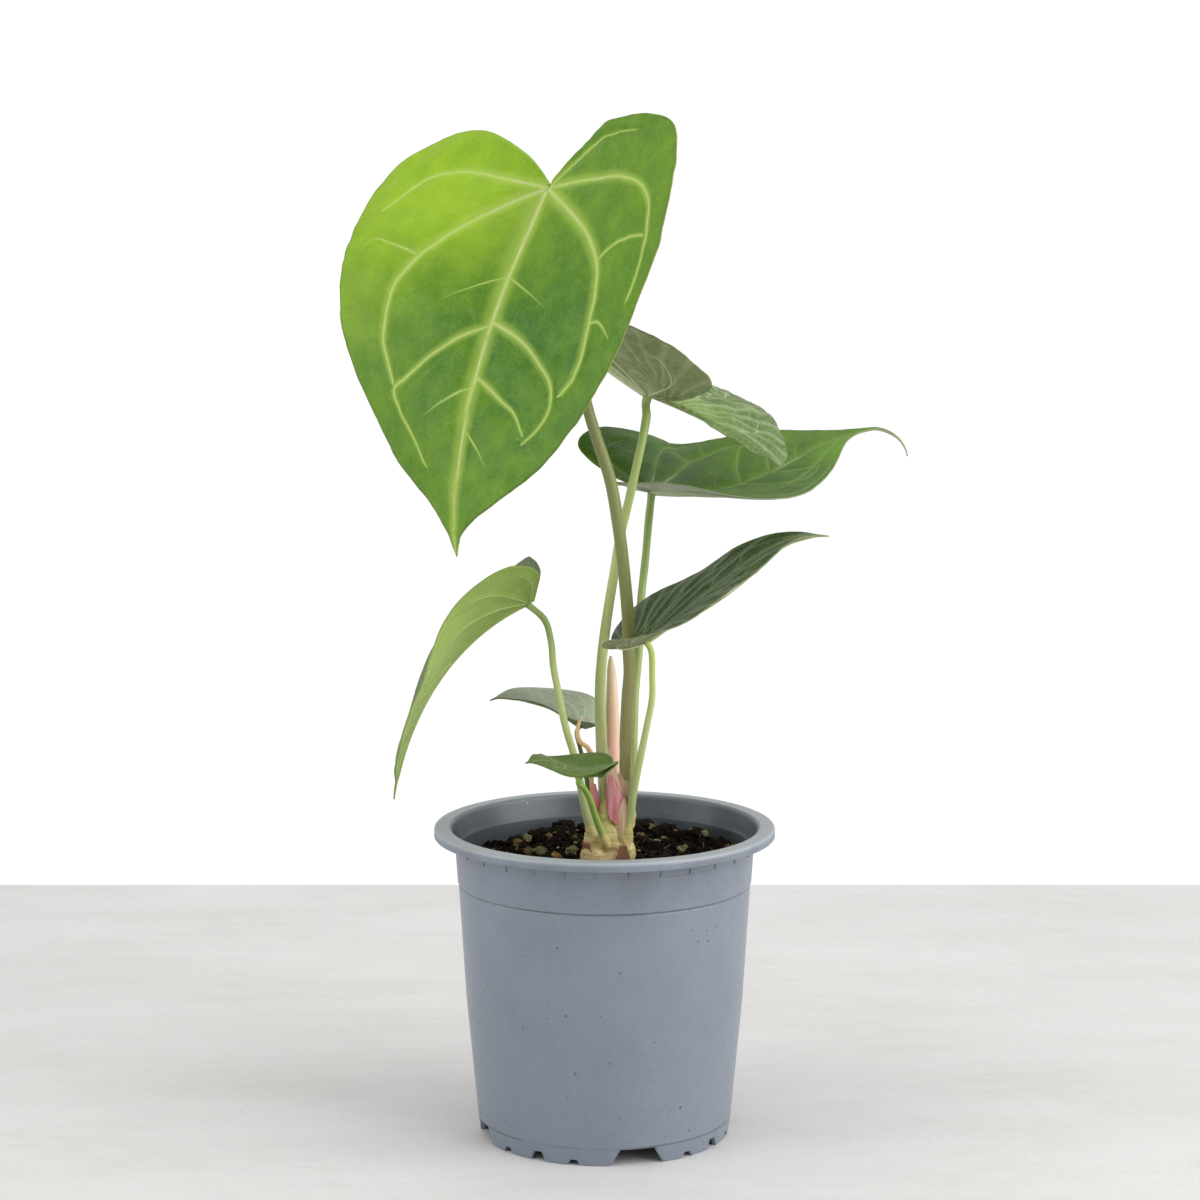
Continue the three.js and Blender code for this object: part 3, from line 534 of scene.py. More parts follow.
@dataclass(frozen=True)
class PlasticFinish:
    """Moulded grey plastic of the pot, with peat dust, splashes and lime, and a painted highlight on the top
    of the rim.

    Attributes:
        body: Colour of clean plastic.
        worn: Colour of scuffed plastic.
        dirt: Colour of peat dust.
        lime: Colour of dried splashes.
        rim: Pale colour painted on the top of the rim as a highlight.
        rim_height: Height from which dirt gathers under the rim, mm.
        seams: Heights where dirt sits in a step of the wall, mm.
        gloss_roughness: Roughness of the clean plastic.
    """

    name: str
    body: Colour
    worn: Colour
    dirt: Colour
    lime: Colour
    rim: Colour
    rim_height: float = 88.0
    seams: tuple[float, ...] = ()
    gloss_roughness: float = 0.4

    RIM_REACH = 14.0
    RIM_HIGHLIGHT_BAND = (108.6, 110.4)
    SEAM_WIDTH = 0.6

    def material(self) -> Material:
        """Makes the pot's material."""
        material, bench = new_material(self.name)
        place = bench.place()
        cloud = bench.mottle(place, 28.0, 0.6)
        body = bench.cover(self.body, self.worn, cloud, 0.5)
        body = bench.cover(body, self.worn, bench.mottle(place, 320.0, 0.8), 0.16)

        height = bench.height()
        near_rim = bench.smooth(height, self.rim_height * MM, (self.rim_height + self.RIM_REACH) * MM)
        patchy = bench.mottle(place, 45.0, 1.6)
        crowded = bench.scaled(near_rim, 0.7, 0.3)
        small = bench.times(bench.times(bench.specks(place, 620.0, 0.34), patchy), crowded)
        large = bench.times(bench.specks(place, 330.0, 0.24), patchy)
        spots = bench.math("MAXIMUM", small, large)
        body = bench.cover(body, self.dirt, spots, 0.8)
        dust = bench.times(bench.mottle(place, 24.0, 2.2), bench.mottle(place, 900.0, 2.2))
        body = bench.cover(body, self.dirt, dust, 0.09)
        body = bench.cover(body, self.dirt, bench.times(patchy, near_rim), 0.22)
        for seam in self.seams:
            away = bench.math("ABSOLUTE", bench.math("SUBTRACT", height, seam * MM))
            line = bench.times(bench.fade(away, 0.0, self.SEAM_WIDTH * MM), bench.scaled(patchy, 0.6, 0.05))
            body = bench.blend(line, body, self.dirt)
        splash = bench.specks(place, 130.0, 0.1)
        body = bench.blend(bench.times(splash, near_rim), body, self.lime)
        # Painted highlight: the top of the rim is paled with the rim colour.
        low, high = self.RIM_HIGHLIGHT_BAND
        body = bench.cover(body, self.rim, bench.smooth(height, low * MM, high * MM), 0.5)

        raised = bench.plus(bench.times(bench.grain(place, 1500.0), 0.35), bench.times(spots, 0.8))
        rough = bench.plus(bench.scaled(cloud, 0.1, self.gloss_roughness), bench.times(spots, 0.4))
        bench.finish(
            Base_Color=body,
            Roughness=rough,
            Normal=bench.bump(raised, 0.1, 0.35),
            Specular_IOR_Level=0.5,
        )
        return material


@dataclass(frozen=True)
class EarthFinish:
    """Rough matt matter: peat, crumbs, bark, moss, perlite and lumps.

    Attributes:
        dark: Colour of the darker blotches.
        middle: Main colour.
        pale: Colour of the flecks.
        scale: Blotches a metre.
        flecks: How much of the pale colour shows.
        relief: Depth of the bump, mm.
    """

    name: str
    dark: Colour
    middle: Colour
    pale: Colour
    scale: float = 260.0
    flecks: float = 0.4
    roughness: float = 0.92
    relief: float = 0.5

    def material(self) -> Material:
        """Makes the material."""
        material, bench = new_material(self.name)
        place = bench.place()
        body = bench.blend(bench.mottle(place, self.scale, 1.2), self.dark, self.middle)
        body = bench.cover(body, self.pale, bench.mottle(place, self.scale * 5, 1.4), self.flecks)
        rough_height = bench.grain(place, self.scale * 4)
        bench.finish(
            Base_Color=body,
            Roughness=self.roughness,
            Normal=bench.bump(rough_height, self.relief, 0.9),
            Specular_IOR_Level=0.1,
        )
        return material


@dataclass(frozen=True)
class FleshFinish:
    """Smooth flesh of the crown, the shoot and the thin sheaths.

    Attributes:
        low: Colour at the lower height.
        high: Colour at the upper height.
        blush: Colour of the blotches.
        bottom: Lower height, mm.
        top: Upper height, mm.
        blotch: How clearly the blotches show.
        scale: Blotches a metre.
        stretch: How much the blotches are drawn out upwards.
    """

    name: str
    low: Colour
    high: Colour
    blush: Colour
    bottom: float
    top: float
    blotch: float = 0.6
    scale: float = 180.0
    stretch: float = 1.0
    roughness: float = 0.34

    def material(self) -> Material:
        """Makes the material."""
        material, bench = new_material(self.name)
        drawn = bench.stretched((1, 1, 1 / self.stretch))
        rise = bench.smooth(bench.height(), self.bottom * MM, self.top * MM)
        fine = bench.mottle(drawn, self.scale * 7, 1.0)
        body = bench.blend(rise, self.low, self.high)
        body = bench.cover(body, self.blush, bench.mottle(drawn, self.scale, 1.1), self.blotch)
        body = bench.cover(body, self.low, fine, 0.18)
        skin = bench.grain(drawn, self.scale * 9)
        bench.finish(
            Base_Color=body,
            Roughness=bench.scaled(fine, 0.14, self.roughness),
            Normal=bench.bump(skin, 0.12, 0.5),
            Specular_IOR_Level=0.5,
            Subsurface_Weight=0.2,
            Subsurface_Radius=(1.0, 0.8, 0.4),
            Subsurface_Scale=0.0016,
        )
        return material


def meshed(name: str, bm: Mesh, materials: Sequence[Material]) -> Piece:
    """Turns a bmesh into an object of the scene.

    Args:
        name: The object's name.
        bm: The bmesh, in metres, which is freed.
        materials: Its materials in order.

    Returns:
        The new object.
    """
    mesh = bpy.data.meshes.new(name)
    bm.to_mesh(mesh)
    bm.free()
    for material in materials:
        mesh.materials.append(material)
    thing = bpy.data.objects.new(name, mesh)
    bpy.context.scene.collection.objects.link(thing)
    return thing


def finished(
    name: str, bm: Mesh, materials: Sequence[Material], replaces: Sequence[str] = ()
) -> Piece:
    """Turns a bmesh into a smooth piece that rides on the root body.

    Args:
        name: The piece's name.
        bm: The bmesh, in metres, which is freed.
        materials: Its materials in order.
        replaces: CAD nodes that it stands for.

    Returns:
        The new object.
    """
    for face in bm.faces:
        face.smooth = True
    piece = meshed(name, bm, materials)
    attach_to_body(piece, BODY)
    if replaces:
        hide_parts(*replaces)
    LOG.info("%s: %d faces", name, len(piece.data.polygons))
    return piece


def walled(piece: Piece, thickness: float) -> bpy.types.SolidifyModifier:
    """Gives a sheet its thickness, half of it to each side.

    Args:
        piece: The sheet.
        thickness: Its thickness, mm.

    Returns:
        The modifier that does it.
    """
    wall = piece.modifiers.new("thickness", "SOLIDIFY")
    wall.thickness = thickness * MM
    wall.offset = 0.0
    return wall


def settled(piece: Piece) -> None:
    """Applies the modifiers of a piece to its mesh.

    Args:
        piece: The piece.
    """
    graph = bpy.context.evaluated_depsgraph_get()
    graph.update()
    done = bpy.data.meshes.new_from_object(piece.evaluated_get(graph))
    piece.modifiers.clear()
    piece.data = done
    for polygon in done.polygons:
        polygon.use_smooth = True


def formed_grid(bm: Mesh, columns: int, rows: int, place: Formula) -> list[bmesh.types.BMVert]:
    """Adds a grid and moves its points where a formula of their two shares puts them.

    Args:
        bm: The bmesh that the grid goes into.
        columns: Number of columns.
        rows: Number of rows.
        place: Takes the shares along columns and rows, and gives points in millimetres.

    Returns:
        The grid's vertices.
    """
    verts = bmesh.ops.create_grid(bm, x_segments=columns, y_segments=rows, size=0.5)["verts"]
    shares = np.array([(vert.co.x + 0.5, vert.co.y + 0.5) for vert in verts])
    points = place(shares[:, 0], shares[:, 1]) * MM
    for vert, point in zip(verts, points):
        vert.co = point
    return verts


def evenly(line: Array, count: int) -> Array:
    """Sets points evenly along a line.

    Args:
        line: The line's points, one a row.
        count: How many points to return.

    Returns:
        The new points, one a row.
    """
    lengths = np.concatenate([[0], np.cumsum(np.linalg.norm(np.diff(line, axis=0), axis=1))])
    wanted = np.linspace(0, lengths[-1], count)
    return np.stack([np.interp(wanted, lengths, column) for column in line.T], axis=1)


def rounded_route(points: Sequence[Sequence[float]], count: int) -> Array:
    """Draws a smooth line through a few points.

    Args:
        points: The points, in millimetres.
        count: How many points to return, evenly spaced along the line.

    Returns:
        The line's points, one a row.
    """
    knots = np.array(points, float)
    padded = np.vstack([2 * knots[0] - knots[1], knots, 2 * knots[-1] - knots[-2]])
    steps = np.sqrt(np.linalg.norm(np.diff(padded, axis=0), axis=1)) + 1e-9
    times = np.concatenate([[0], np.cumsum(steps)])
    pieces = []
    for i in range(1, len(padded) - 2):
        t = np.linspace(times[i], times[i + 1], 24, endpoint=i == len(padded) - 3)[:, None]
        t0, t1, t2, t3 = times[i - 1:i + 3]
        p0, p1, p2, p3 = padded[i - 1:i + 3]
        a1 = (t1 - t) / (t1 - t0) * p0 + (t - t0) / (t1 - t0) * p1
        a2 = (t2 - t) / (t2 - t1) * p1 + (t - t1) / (t2 - t1) * p2
        a3 = (t3 - t) / (t3 - t2) * p2 + (t - t2) / (t3 - t2) * p3
        b1 = (t2 - t) / (t2 - t0) * a1 + (t - t0) / (t2 - t0) * a2
        b2 = (t3 - t) / (t3 - t1) * a2 + (t - t1) / (t3 - t1) * a3
        pieces.append((t2 - t) / (t2 - t1) * b1 + (t - t1) / (t2 - t1) * b2)
    return evenly(np.vstack(pieces), count)


def tube(line: Array, radii: Array, sides: int) -> Mesh:
    """Makes a closed tube.

    Args:
        line: Centre points in millimetres, one a row.
        radii: A radius for each centre point, or one a point and side.
        sides: Number of sides.

    Returns:
        A bmesh of the tube alone.
    """
    tangents = np.gradient(line, axis=0)
    tangents /= np.linalg.norm(tangents, axis=1)[:, None]
    normals = np.zeros_like(line)
    start = np.cross(tangents[0], (0.0, 1.0, 0.0) if abs(tangents[0][1]) < 0.9 else (1.0, 0.0, 0.0))
    normals[0] = start / np.linalg.norm(start)
    for i in range(1, len(line)):
        turned = normals[i - 1] - tangents[i] * np.dot(normals[i - 1], tangents[i])
        normals[i] = turned / np.linalg.norm(turned)
    binormals = np.cross(tangents, normals)
    around = radii if radii.ndim == 2 else np.repeat(radii[:, None], sides, axis=1)

    def place(along: Array, turn: Array) -> Array:
        """Gives the tube's points from the shares along and around it."""
        i = np.rint(along * (len(line) - 1)).astype(int)
        j = np.rint(turn * sides).astype(int) % sides
        angle = 2 * np.pi * j / sides
        out = normals[i] * np.cos(angle)[:, None] + binormals[i] * np.sin(angle)[:, None]
        return line[i] + out * around[i, j][:, None]

    bm = bmesh.new()
    verts = formed_grid(bm, len(line) - 1, sides, place)
    bmesh.ops.remove_doubles(bm, verts=verts, dist=1e-9)
    ends = [edge for edge in bm.edges if edge.is_boundary]
    bmesh.ops.holes_fill(bm, edges=ends, sides=0)
    bmesh.ops.recalc_face_normals(bm, faces=bm.faces)
    return bm


def edges_of(verts: Sequence[bmesh.types.BMVert]) -> list[bmesh.types.BMEdge]:
    """Gives the edges at some vertices, each once."""
    return list({edge for vert in verts for edge in vert.link_edges})


class Heap:
    """Gathers many small bodies in one bmesh, each made in a bmesh of its own, which is faster."""

    def __init__(self) -> None:
        """Starts empty."""
        self.whole = bmesh.new()
        self.carrier = bpy.data.meshes.new("carrier")

    def add(self, bm: Mesh) -> None:
        """Takes over the faces of a bmesh and frees it."""
        bm.to_mesh(self.carrier)
        bm.free()
        self.whole.from_mesh(self.carrier)

    def poured(self) -> Mesh:
        """Returns everything as one bmesh."""
        bpy.data.meshes.remove(self.carrier)
        return self.whole


def rumple(points: Array, scale: float, depth: int = 3) -> Array:
    """Gives smooth noise between about -1 and 1 at points in millimetres.

    Args:
        points: Points, one a row.
        scale: Size of the largest swell, mm.
        depth: Number of finer layers.

    Returns:
        One value a point.
    """
    values = [noise.fractal(Vector(point) / scale, 0.9, 2.0, depth) for point in points]
    return np.array(values)


@dataclass(frozen=True)
class Vein:
    """One vein of half a blade.

    Attributes:
        points: Shares of the half width, and of the body's length or, below 0, of the lobe.
        root: Half width where it starts, mm on a blade of the reference length.
        tip: Half width where it ends, mm.
    """

    points: tuple[tuple[float, float], ...]
    root: float
    tip: float


INNER_VEIN = Vein(
    ((0, 0), (0.27, 0.12), (0.44, 0.2), (0.56, 0.28), (0.6, 0.36), (0.6, 0.49), (0.58, 0.55),
     (0.52, 0.6)), 0.88, 0.36)
OUTER_VEIN = Vein(
    ((0, 0), (0.27, 0.03), (0.53, 0.06), (0.72, 0.1), (0.84, 0.16), (0.87, 0.22), (0.86, 0.32),
     (0.84, 0.38)), 0.7, 0.22)
LOBE_VEIN = Vein(((0, 0), (0.2, -0.34), (0.38, -0.58), (0.58, -0.56), (0.74, -0.32)), 0.44, 0.1)
FIRST_SIDE_VEIN = Vein(((0, 0.29), (0.17, 0.34), (0.3, 0.38)), 0.16, 0.06)
SIDE_VEINS = (
    FIRST_SIDE_VEIN,
    Vein(((0, 0.42), (0.2, 0.465), (0.36, 0.53), (0.46, 0.585), (0.475, 0.63), (0.43, 0.68),
          (0.35, 0.73)), 0.62, 0.16),
    Vein(((0, 0.57), (0.16, 0.62), (0.28, 0.66), (0.35, 0.71)), 0.46, 0.16),
    Vein(((0, 0.71), (0.09, 0.75), (0.17, 0.8)), 0.2, 0.06),
)
BRANCH_VEINS = (
    Vein(((0.57, 0.27), (0.66, 0.245), (0.76, 0.235), (0.85, 0.24)), 0.24, 0.16),
    Vein(((0.6, 0.42), (0.68, 0.42), (0.78, 0.46)), 0.22, 0.08),
)


@dataclass(frozen=True)
class VeinPlan:
    """The veins of half a blade, family by family."""

    basal: tuple[Vein, ...] = (LOBE_VEIN, OUTER_VEIN, INNER_VEIN)
    lateral: tuple[Vein, ...] = SIDE_VEINS
    branch: tuple[Vein, ...] = BRANCH_VEINS

    def family(self, order: VeinOrder) -> tuple[Vein, ...]:
        """Gives the veins of one family."""
        return getattr(self, order.value)


COMMON_PLAN = VeinPlan()
LONG_PLAN = VeinPlan(
    basal=(
        LOBE_VEIN,
        Vein(((0, 0), (0.4, 0.05), (0.72, 0.14), (0.83, 0.28), (0.8, 0.45), (0.64, 0.62),
              (0.44, 0.77)), 0.6, 0.14),
        Vein(((0, 0), (0.22, 0.1), (0.4, 0.22), (0.48, 0.38), (0.45, 0.54), (0.33, 0.7),
              (0.18, 0.84), (0.07, 0.93)), 0.75, 0.16),
    ),
    branch=(
        Vein(((0.46, 0.3), (0.64, 0.32), (0.8, 0.4)), 0.26, 0.16),
        Vein(((0.46, 0.5), (0.58, 0.54), (0.68, 0.6)), 0.22, 0.12),
    ),
)
BROAD_PLAN = VeinPlan(
    basal=(
        Vein(((0, 0), (0.23, -0.12), (0.53, -0.24), (0.7, -0.1), (0.78, 0.04), (0.86, 0.1)),
             0.72, 0.2),
        Vein(((0, 0), (0.17, 0.06), (0.32, 0.13), (0.44, 0.2), (0.53, 0.26), (0.6, 0.35),
              (0.6, 0.42), (0.58, 0.5), (0.53, 0.56), (0.47, 0.62)), 0.92, 0.3),
    ),
    lateral=(
        FIRST_SIDE_VEIN,
        Vein(((0, 0.43), (0.13, 0.47), (0.27, 0.53), (0.4, 0.6), (0.46, 0.63), (0.41, 0.68),
              (0.31, 0.74), (0.2, 0.82)), 0.52, 0.14),
        Vein(((0, 0.6), (0.12, 0.64), (0.24, 0.69)), 0.22, 0.06),
    ),
    branch=(Vein(((0.54, 0.25), (0.7, 0.22), (0.84, 0.2), (0.89, 0.25)), 0.26, 0.06),),
)

REFERENCE_LENGTH = 131.0
WIDTH_POWER = 0.7
MIDRIB_ROOT = 1.3
MIDRIB_TIP = 0.5
FAR = 999.0


@dataclass(frozen=True)
class LightAndMottlePatch:
    """A soft patch of painted light and shade on a blade. Light patches are light shining through the blade
    and falling on it; dark patches are painted shade, and on leaf_5 also the leaf's own mottles.

    Attributes:
        across: Place across, in shares of the half width, positive on the right half.
        along: Place along, in shares of the length.
        reach: Radius in shares of the length.
        gain: What it adds to the tone.
    """

    across: float
    along: float
    reach: float
    gain: float


@dataclass
class Blade:
    """One heart-shaped blade, drawn flat and laid on a curved midrib, in mm and degrees.

    Pairs hold the right and the left half. The lists of angles hold the value at the lobes, the
    petiole, half way and the tip.

    Attributes:
        node: The CAD node that the blade replaces.
        slot: Name of its material slot; not used here.
        attach: Where the veins meet.
        length: From the petiole to the tip.
        widths: Half widths.
        lobes: How far the lobes reach back.
        tail: Share of the length that the drip tip takes.
        pitch: Rise of the midrib.
        heading: Compass angle of the midrib from +X.
        roll: Tip of the right half downwards.
        folds: Lift of each half at the midrib.
        curls: Further bend of each half up to the margin.
        finish: Colours and skin.
        hook: Extra downward bend of the tip.
        sinus: Width share of the notch behind the petiole.
        point: Width share where the drip tip starts.
        wave: Height of the margin's waves.
        quilt: Height of the swells between the veins.
        groove: Depth of the grooves along the veins.
        crinkle: Height of the uneven swells.
        rib: Factor on the ribs of the underside.
        fan_turn: How far the fine side veins spread from the petiole instead of the midrib.
        fan_count: Fine side veins on each half.
        fan_height: Height of their ridges.
        tone: Tone before the patches of painted light and shade.
        light_and_mottle_patches: Patches of painted light and shade, and of the leaf's own darker mottles.
        plans: Vein plans.
        turns: Grid columns round half the outline.
        rings: Grid rows from the petiole to the outline.
    """

    node: str
    slot: str
    attach: Point
    length: float
    widths: tuple[float, float]
    lobes: tuple[float, float]
    tail: float
    pitch: Sequence[float]
    heading: Sequence[float]
    roll: Sequence[float]
    folds: tuple[Sequence[float], Sequence[float]]
    curls: tuple[Sequence[float], Sequence[float]]
    finish: BladeFinish
    hook: float = 0.0
    sinus: float = 0.2
    point: float = 0.17
    wave: float = 0.4
    quilt: float = 0.5
    groove: float = 0.25
    crinkle: float = 0.5
    rib: float = 1.0
    fan_turn: float = 0.0
    fan_count: int = 18
    fan_height: float = 0.0
    tone: float = 0.5
    light_and_mottle_patches: tuple[LightAndMottlePatch, ...] = ()
    plans: tuple[VeinPlan, VeinPlan] = (COMMON_PLAN, COMMON_PLAN)
    turns: int = 110
    rings: int = 64
    _spine: Array = field(default=None, repr=False)

    STATIONS = (-0.25, 0.0, 0.5, 1.0)
    THICKNESS = 0.5
    SPINE_START = -0.45
    SPINE_STEPS = 145
    HOOK_START = 0.78
    HOOK_POWER = 1.5
    SINUS_DEPTH = 2.0
    WAVES = 3.5
    GROOVE_REACH = 0.9
    SWELL_REACH = 5.0
    MARGIN_REACH = 4.0
    FAINT_WIDTH = 0.4
    FAINT_DETOUR = 14.0
    SWELLS = (16.0, 6.0)
    FINE_SWELL = 0.35
    FAN_BEND = 0.55
    FAN_POWER = 1.3
    FAN_BACK = 0.08
    FAN_TURNED = 1.15
    LOBE_END = 0.16
    LOBE_REACH = 0.2
    MIDRIB_RIB = (1.3, 0.28)
    RIB_SIDES = 8
    RIB_TIP = (0.85, 0.65, 0.4, 0.15)

    def __post_init__(self) -> None:
        """Adds up the midrib's line once."""
        step = (1 - self.SPINE_START) / self.SPINE_STEPS
        middles = self.SPINE_START + (np.arange(self.SPINE_STEPS) + 0.5) * step
        along, _, _ = self.directions(middles)
        line = np.vstack([np.zeros(3), np.cumsum(along * step * self.length, axis=0)])
        origin = line[round(-self.SPINE_START / step)]
        self._spine = line - origin + np.array(self.attach)

    @property
    def size(self) -> float:
        """Gives the length in shares of the largest blade's."""
        return self.length / REFERENCE_LENGTH

    @property
    def vein_size(self) -> float:
        """Gives the factor on the veins' widths, which grow slower than the blade."""
        return self.size**WIDTH_POWER

    def half(self, pair: tuple, side: Side) -> object:
        """Picks the right or the left one of a pair."""
        return pair[0] if side is Side.RIGHT else pair[1]

    def measures(self, side: Side) -> tuple[float, float, float]:
        """Gives a half's width, its lobe and the length without the drip tip, mm."""
        return self.half(self.widths, side), self.half(self.lobes, side), self.length * (1 - self.tail)

    def blend(self, values: Sequence[float], u: Array) -> Array:
        """Reads a smooth curve through the values at the stations.

        Args:
            values: One value a station.
            u: Places along the midrib.

        Returns:
            One value a place.
        """
        x = np.array(self.STATIONS)
        v = np.array(values, float)
        steps = np.diff(x)
        rises = np.diff(v) / steps
        slopes = np.concatenate([
            rises[:1],
            (rises[:-1] * steps[1:] + rises[1:] * steps[:-1]) / (steps[1:] + steps[:-1]),
            rises[-1:],
        ])
        inside = np.clip(u, x[0], x[-1])
        k = np.clip(np.searchsorted(x, inside, side="left") - 1, 0, len(x) - 2)
        t = (inside - x[k]) / steps[k]
        start = (2 * t**3 - 3 * t**2 + 1) * v[k] + (t**3 - 2 * t**2 + t) * steps[k] * slopes[k]
        end = (3 * t**2 - 2 * t**3) * v[k + 1] + (t**3 - t**2) * steps[k] * slopes[k + 1]
        return start + end + (u - inside) * np.where(u < inside, slopes[0], slopes[-1])

    def directions(self, u: Array) -> tuple[Array, Array, Array]:
        """Gives the directions along the midrib, to its right and out of the upper face.

        Args:
            u: Places along the midrib, in shares of the length.

        Returns:
            Three arrays of unit vectors.
        """
        past = np.clip((u - self.HOOK_START) / (1 - self.HOOK_START), 0, None)
        pitch = np.radians(self.blend(self.pitch, u) - self.hook * past**self.HOOK_POWER)
        heading = np.radians(self.blend(self.heading, u))
        roll = np.radians(self.blend(self.roll, u))[:, None]
        parts = (np.cos(heading) * np.cos(pitch), np.sin(heading) * np.cos(pitch), np.sin(pitch))
        along = np.stack(parts, axis=1)
        level = np.stack((np.sin(heading), -np.cos(heading), np.zeros_like(heading)), axis=1)
        upright = np.cross(level, along)
        right = level * np.cos(roll) - upright * np.sin(roll)
        up = upright * np.cos(roll) + level * np.sin(roll)
        return along, right, up

    def spine(self, u: Array) -> Array:
        """Gives points of the midrib."""
        span = np.linspace(self.SPINE_START, 1, self.SPINE_STEPS + 1)
        return np.stack([np.interp(u, span, column) for column in self._spine.T], axis=1)

    def outline(self, side: Side) -> Array:
        """Draws half the flat outline, from the notch round the lobe to the tip.

        Args:
            side: The half.

        Returns:
            Points across and along, mm, evenly spaced.
        """
        width, lobe, body = self.measures(side)
        backward = [(self.sinus, -0.62), (0.52, -1.0), (0.84, -0.66), (0.99, 0.1)]
        forward = [(0.975, 0.27), (0.81, 0.52), (0.49, 0.77), (self.point, 0.95)]
        points = [(0.0, -self.SINUS_DEPTH)]
        points += [(across * width, along * lobe) for across, along in backward]
        points += [(across * width, along * body) for across, along in forward]
        tail = ((0.27 * self.point, 0.8), (0.12 * self.point, 0.4))
        points += [(share * width, self.length * (1 - left * self.tail)) for share, left in tail]
        points.append((0.0, self.length))
        knots = np.array(points)
        padded = np.vstack([knots[0], knots, knots[-1]])
        t = np.linspace(0, 1, 40, endpoint=False)[:, None]
        spans = []
        for p0, p1, p2, p3 in zip(padded, padded[1:], padded[2:], padded[3:]):
            v0, v1 = (p2 - p0) / 2, (p3 - p1) / 2
            cubic = 2 * p1 - 2 * p2 + v0 + v1
            square = 3 * p2 - 3 * p1 - 2 * v0 - v1
            spans.append(cubic * t**3 + square * t**2 + v0 * t + p1)
        return evenly(np.vstack([*spans, knots[-1:]]), self.turns + 1)

    def surface(self, across: Array, along: Array, side: Side, lift: Array) -> Array:
        """Lays flat points of one half on the curved blade.

        Args:
            across: Distance from the midrib, mm.
            along: Distance along the midrib, mm.
            side: The half.
            lift: Distance out of the upper face, mm.

        Returns:
            Points in the frame, mm.
        """
        u = along / self.length
        _, right, up = self.directions(u)
        width = self.half(self.widths, side)
        fold = np.radians(self.blend(self.half(self.folds, side), u))
        bend = np.radians(self.blend(self.half(self.curls, side), u)) / width
        bend = np.where(np.abs(bend) < 1e-6, 1e-6, bend)
        angle = fold + bend * across
        out = ((np.sin(angle) - np.sin(fold)) / bend)[:, None]
        rise = ((np.cos(fold) - np.cos(angle)) / bend)[:, None]
        normal = up * np.cos(angle)[:, None] - side.value * right * np.sin(angle)[:, None]
        points = self.spine(u) + side.value * right * out + up * rise + normal * lift[:, None]
        return points + np.array(AXIS)

    def vein_line(self, vein: Vein, side: Side, count: int = 40) -> Array:
        """Draws one vein on the flat half blade.

        Args:
            vein: The vein.
            side: The half.
            count: How many points to return.

        Returns:
            Points across and along, mm.
        """
        width, lobe, body = self.measures(side)
        points = [(a * width, b * (body if b >= 0 else lobe)) for a, b in vein.points]
        return rounded_route(points, count)

    def nearest(self, across: Array, along: Array, side: Side, order: VeinOrder) -> tuple:
        """Measures the distance to the nearest vein of a family.

        The sign changes at each vein, and from one vein to the next, so that it runs evenly over
        the blade and is 0 only on the veins.

        Args:
            across: Distance from the midrib, mm.
            along: Distance along the midrib, mm.
            side: The half.
            order: The family.

        Returns:
            Signed distances and half widths, mm.
        """
        best = np.full(across.shape, FAR)
        widths = np.zeros_like(best)
        for rank, vein in enumerate(self.half(self.plans, side).family(order)):
            line = self.vein_line(vein, side)
            parity = 1 if rank % 2 == 0 else -1
            last = len(line) - 2
            for i, (a, b) in enumerate(zip(line, line[1:])):
                run = b - a
                t = ((across - a[0]) * run[0] + (along - a[1]) * run[1]) / run.dot(run)
                on = np.clip(t, 0, 1)
                away = np.hypot(across - a[0] - on * run[0], along - a[1] - on * run[1])
                turn = np.sign(run[0] * (along - a[1]) - run[1] * (across - a[0]))
                share = (i + on) / (last + 1)
                width = (vein.root + (vein.tip - vein.root) * share) * self.vein_size
                beyond = (t > 1) if i == last else (t < 0) & (i == 0)
                width = np.where(beyond, width * np.clip(1 - away, 0, 1), width)
                closer = away < np.abs(best)
                best = np.where(closer, away * np.where(turn == 0, 1, turn) * parity, best)
                widths = np.where(closer, width, widths)
        return best, widths

    def tone_at(self, across: Array, along: Array, side: Side) -> Array:
        """Gives the tone, with the blade's patches of painted light and shade.

        Args:
            across: Distance from the midrib, mm.
            along: Distance along the midrib, mm.
            side: The half.

        Returns:
            One tone a point.
        """
        tone = np.full(across.shape, self.tone)
        for glow in self.light_and_mottle_patches:
            middle = glow.across * self.half(self.widths, side) * side.value
            reach = glow.reach * self.length
            away = np.hypot(across - middle, along - glow.along * self.length) / reach
            tone = tone + glow.gain * np.exp(-away * away)
        return tone

    def build(self) -> None:
        """Builds the blade with its veins as fields, and the ribs below it."""
        bm = bmesh.new()
        names = ["across", "midrib_width", "share", "fan", "tone"]
        names += [order.value for order in VeinOrder] + [f"{order.value}_width" for order in VeinOrder]
        layers = {name: bm.verts.layers.float.new(name) for name in names}
        plane = bm.verts.layers.float_vector.new("plane")
        for side in Side:
            self._half_sheet(bm, side, layers, plane)
        bmesh.ops.remove_doubles(bm, verts=bm.verts, dist=2e-6)
        bmesh.ops.recalc_face_normals(bm, faces=bm.faces)
        self._face_up(bm)
        uv = bm.loops.layers.uv.new("blade")
        for face in bm.faces:
            for loop in face.loops:
                loop[uv].uv = loop.vert[plane].xy
        skins = [self.finish.upper(), self.finish.under()]
        wall = walled(finished(self.node, bm, skins, [self.node]), self.THICKNESS)
        wall.use_quality_normals = True
        wall.material_offset = 1
        wall.material_offset_rim = 1
        self._ribs()

    def _half_sheet(self, bm: Mesh, side: Side, layers: dict, plane: object) -> None:
        """Adds one half of the blade as a curved sheet.

        Args:
            bm: The blade's bmesh.
            side: The half.
            layers: Number layers by name.
            plane: Layer for the flat place.
        """
        rim = self.outline(side)
        shoulder = rim[np.argmax(rim[:, 0]):]
        values: dict[str, Array] = {}

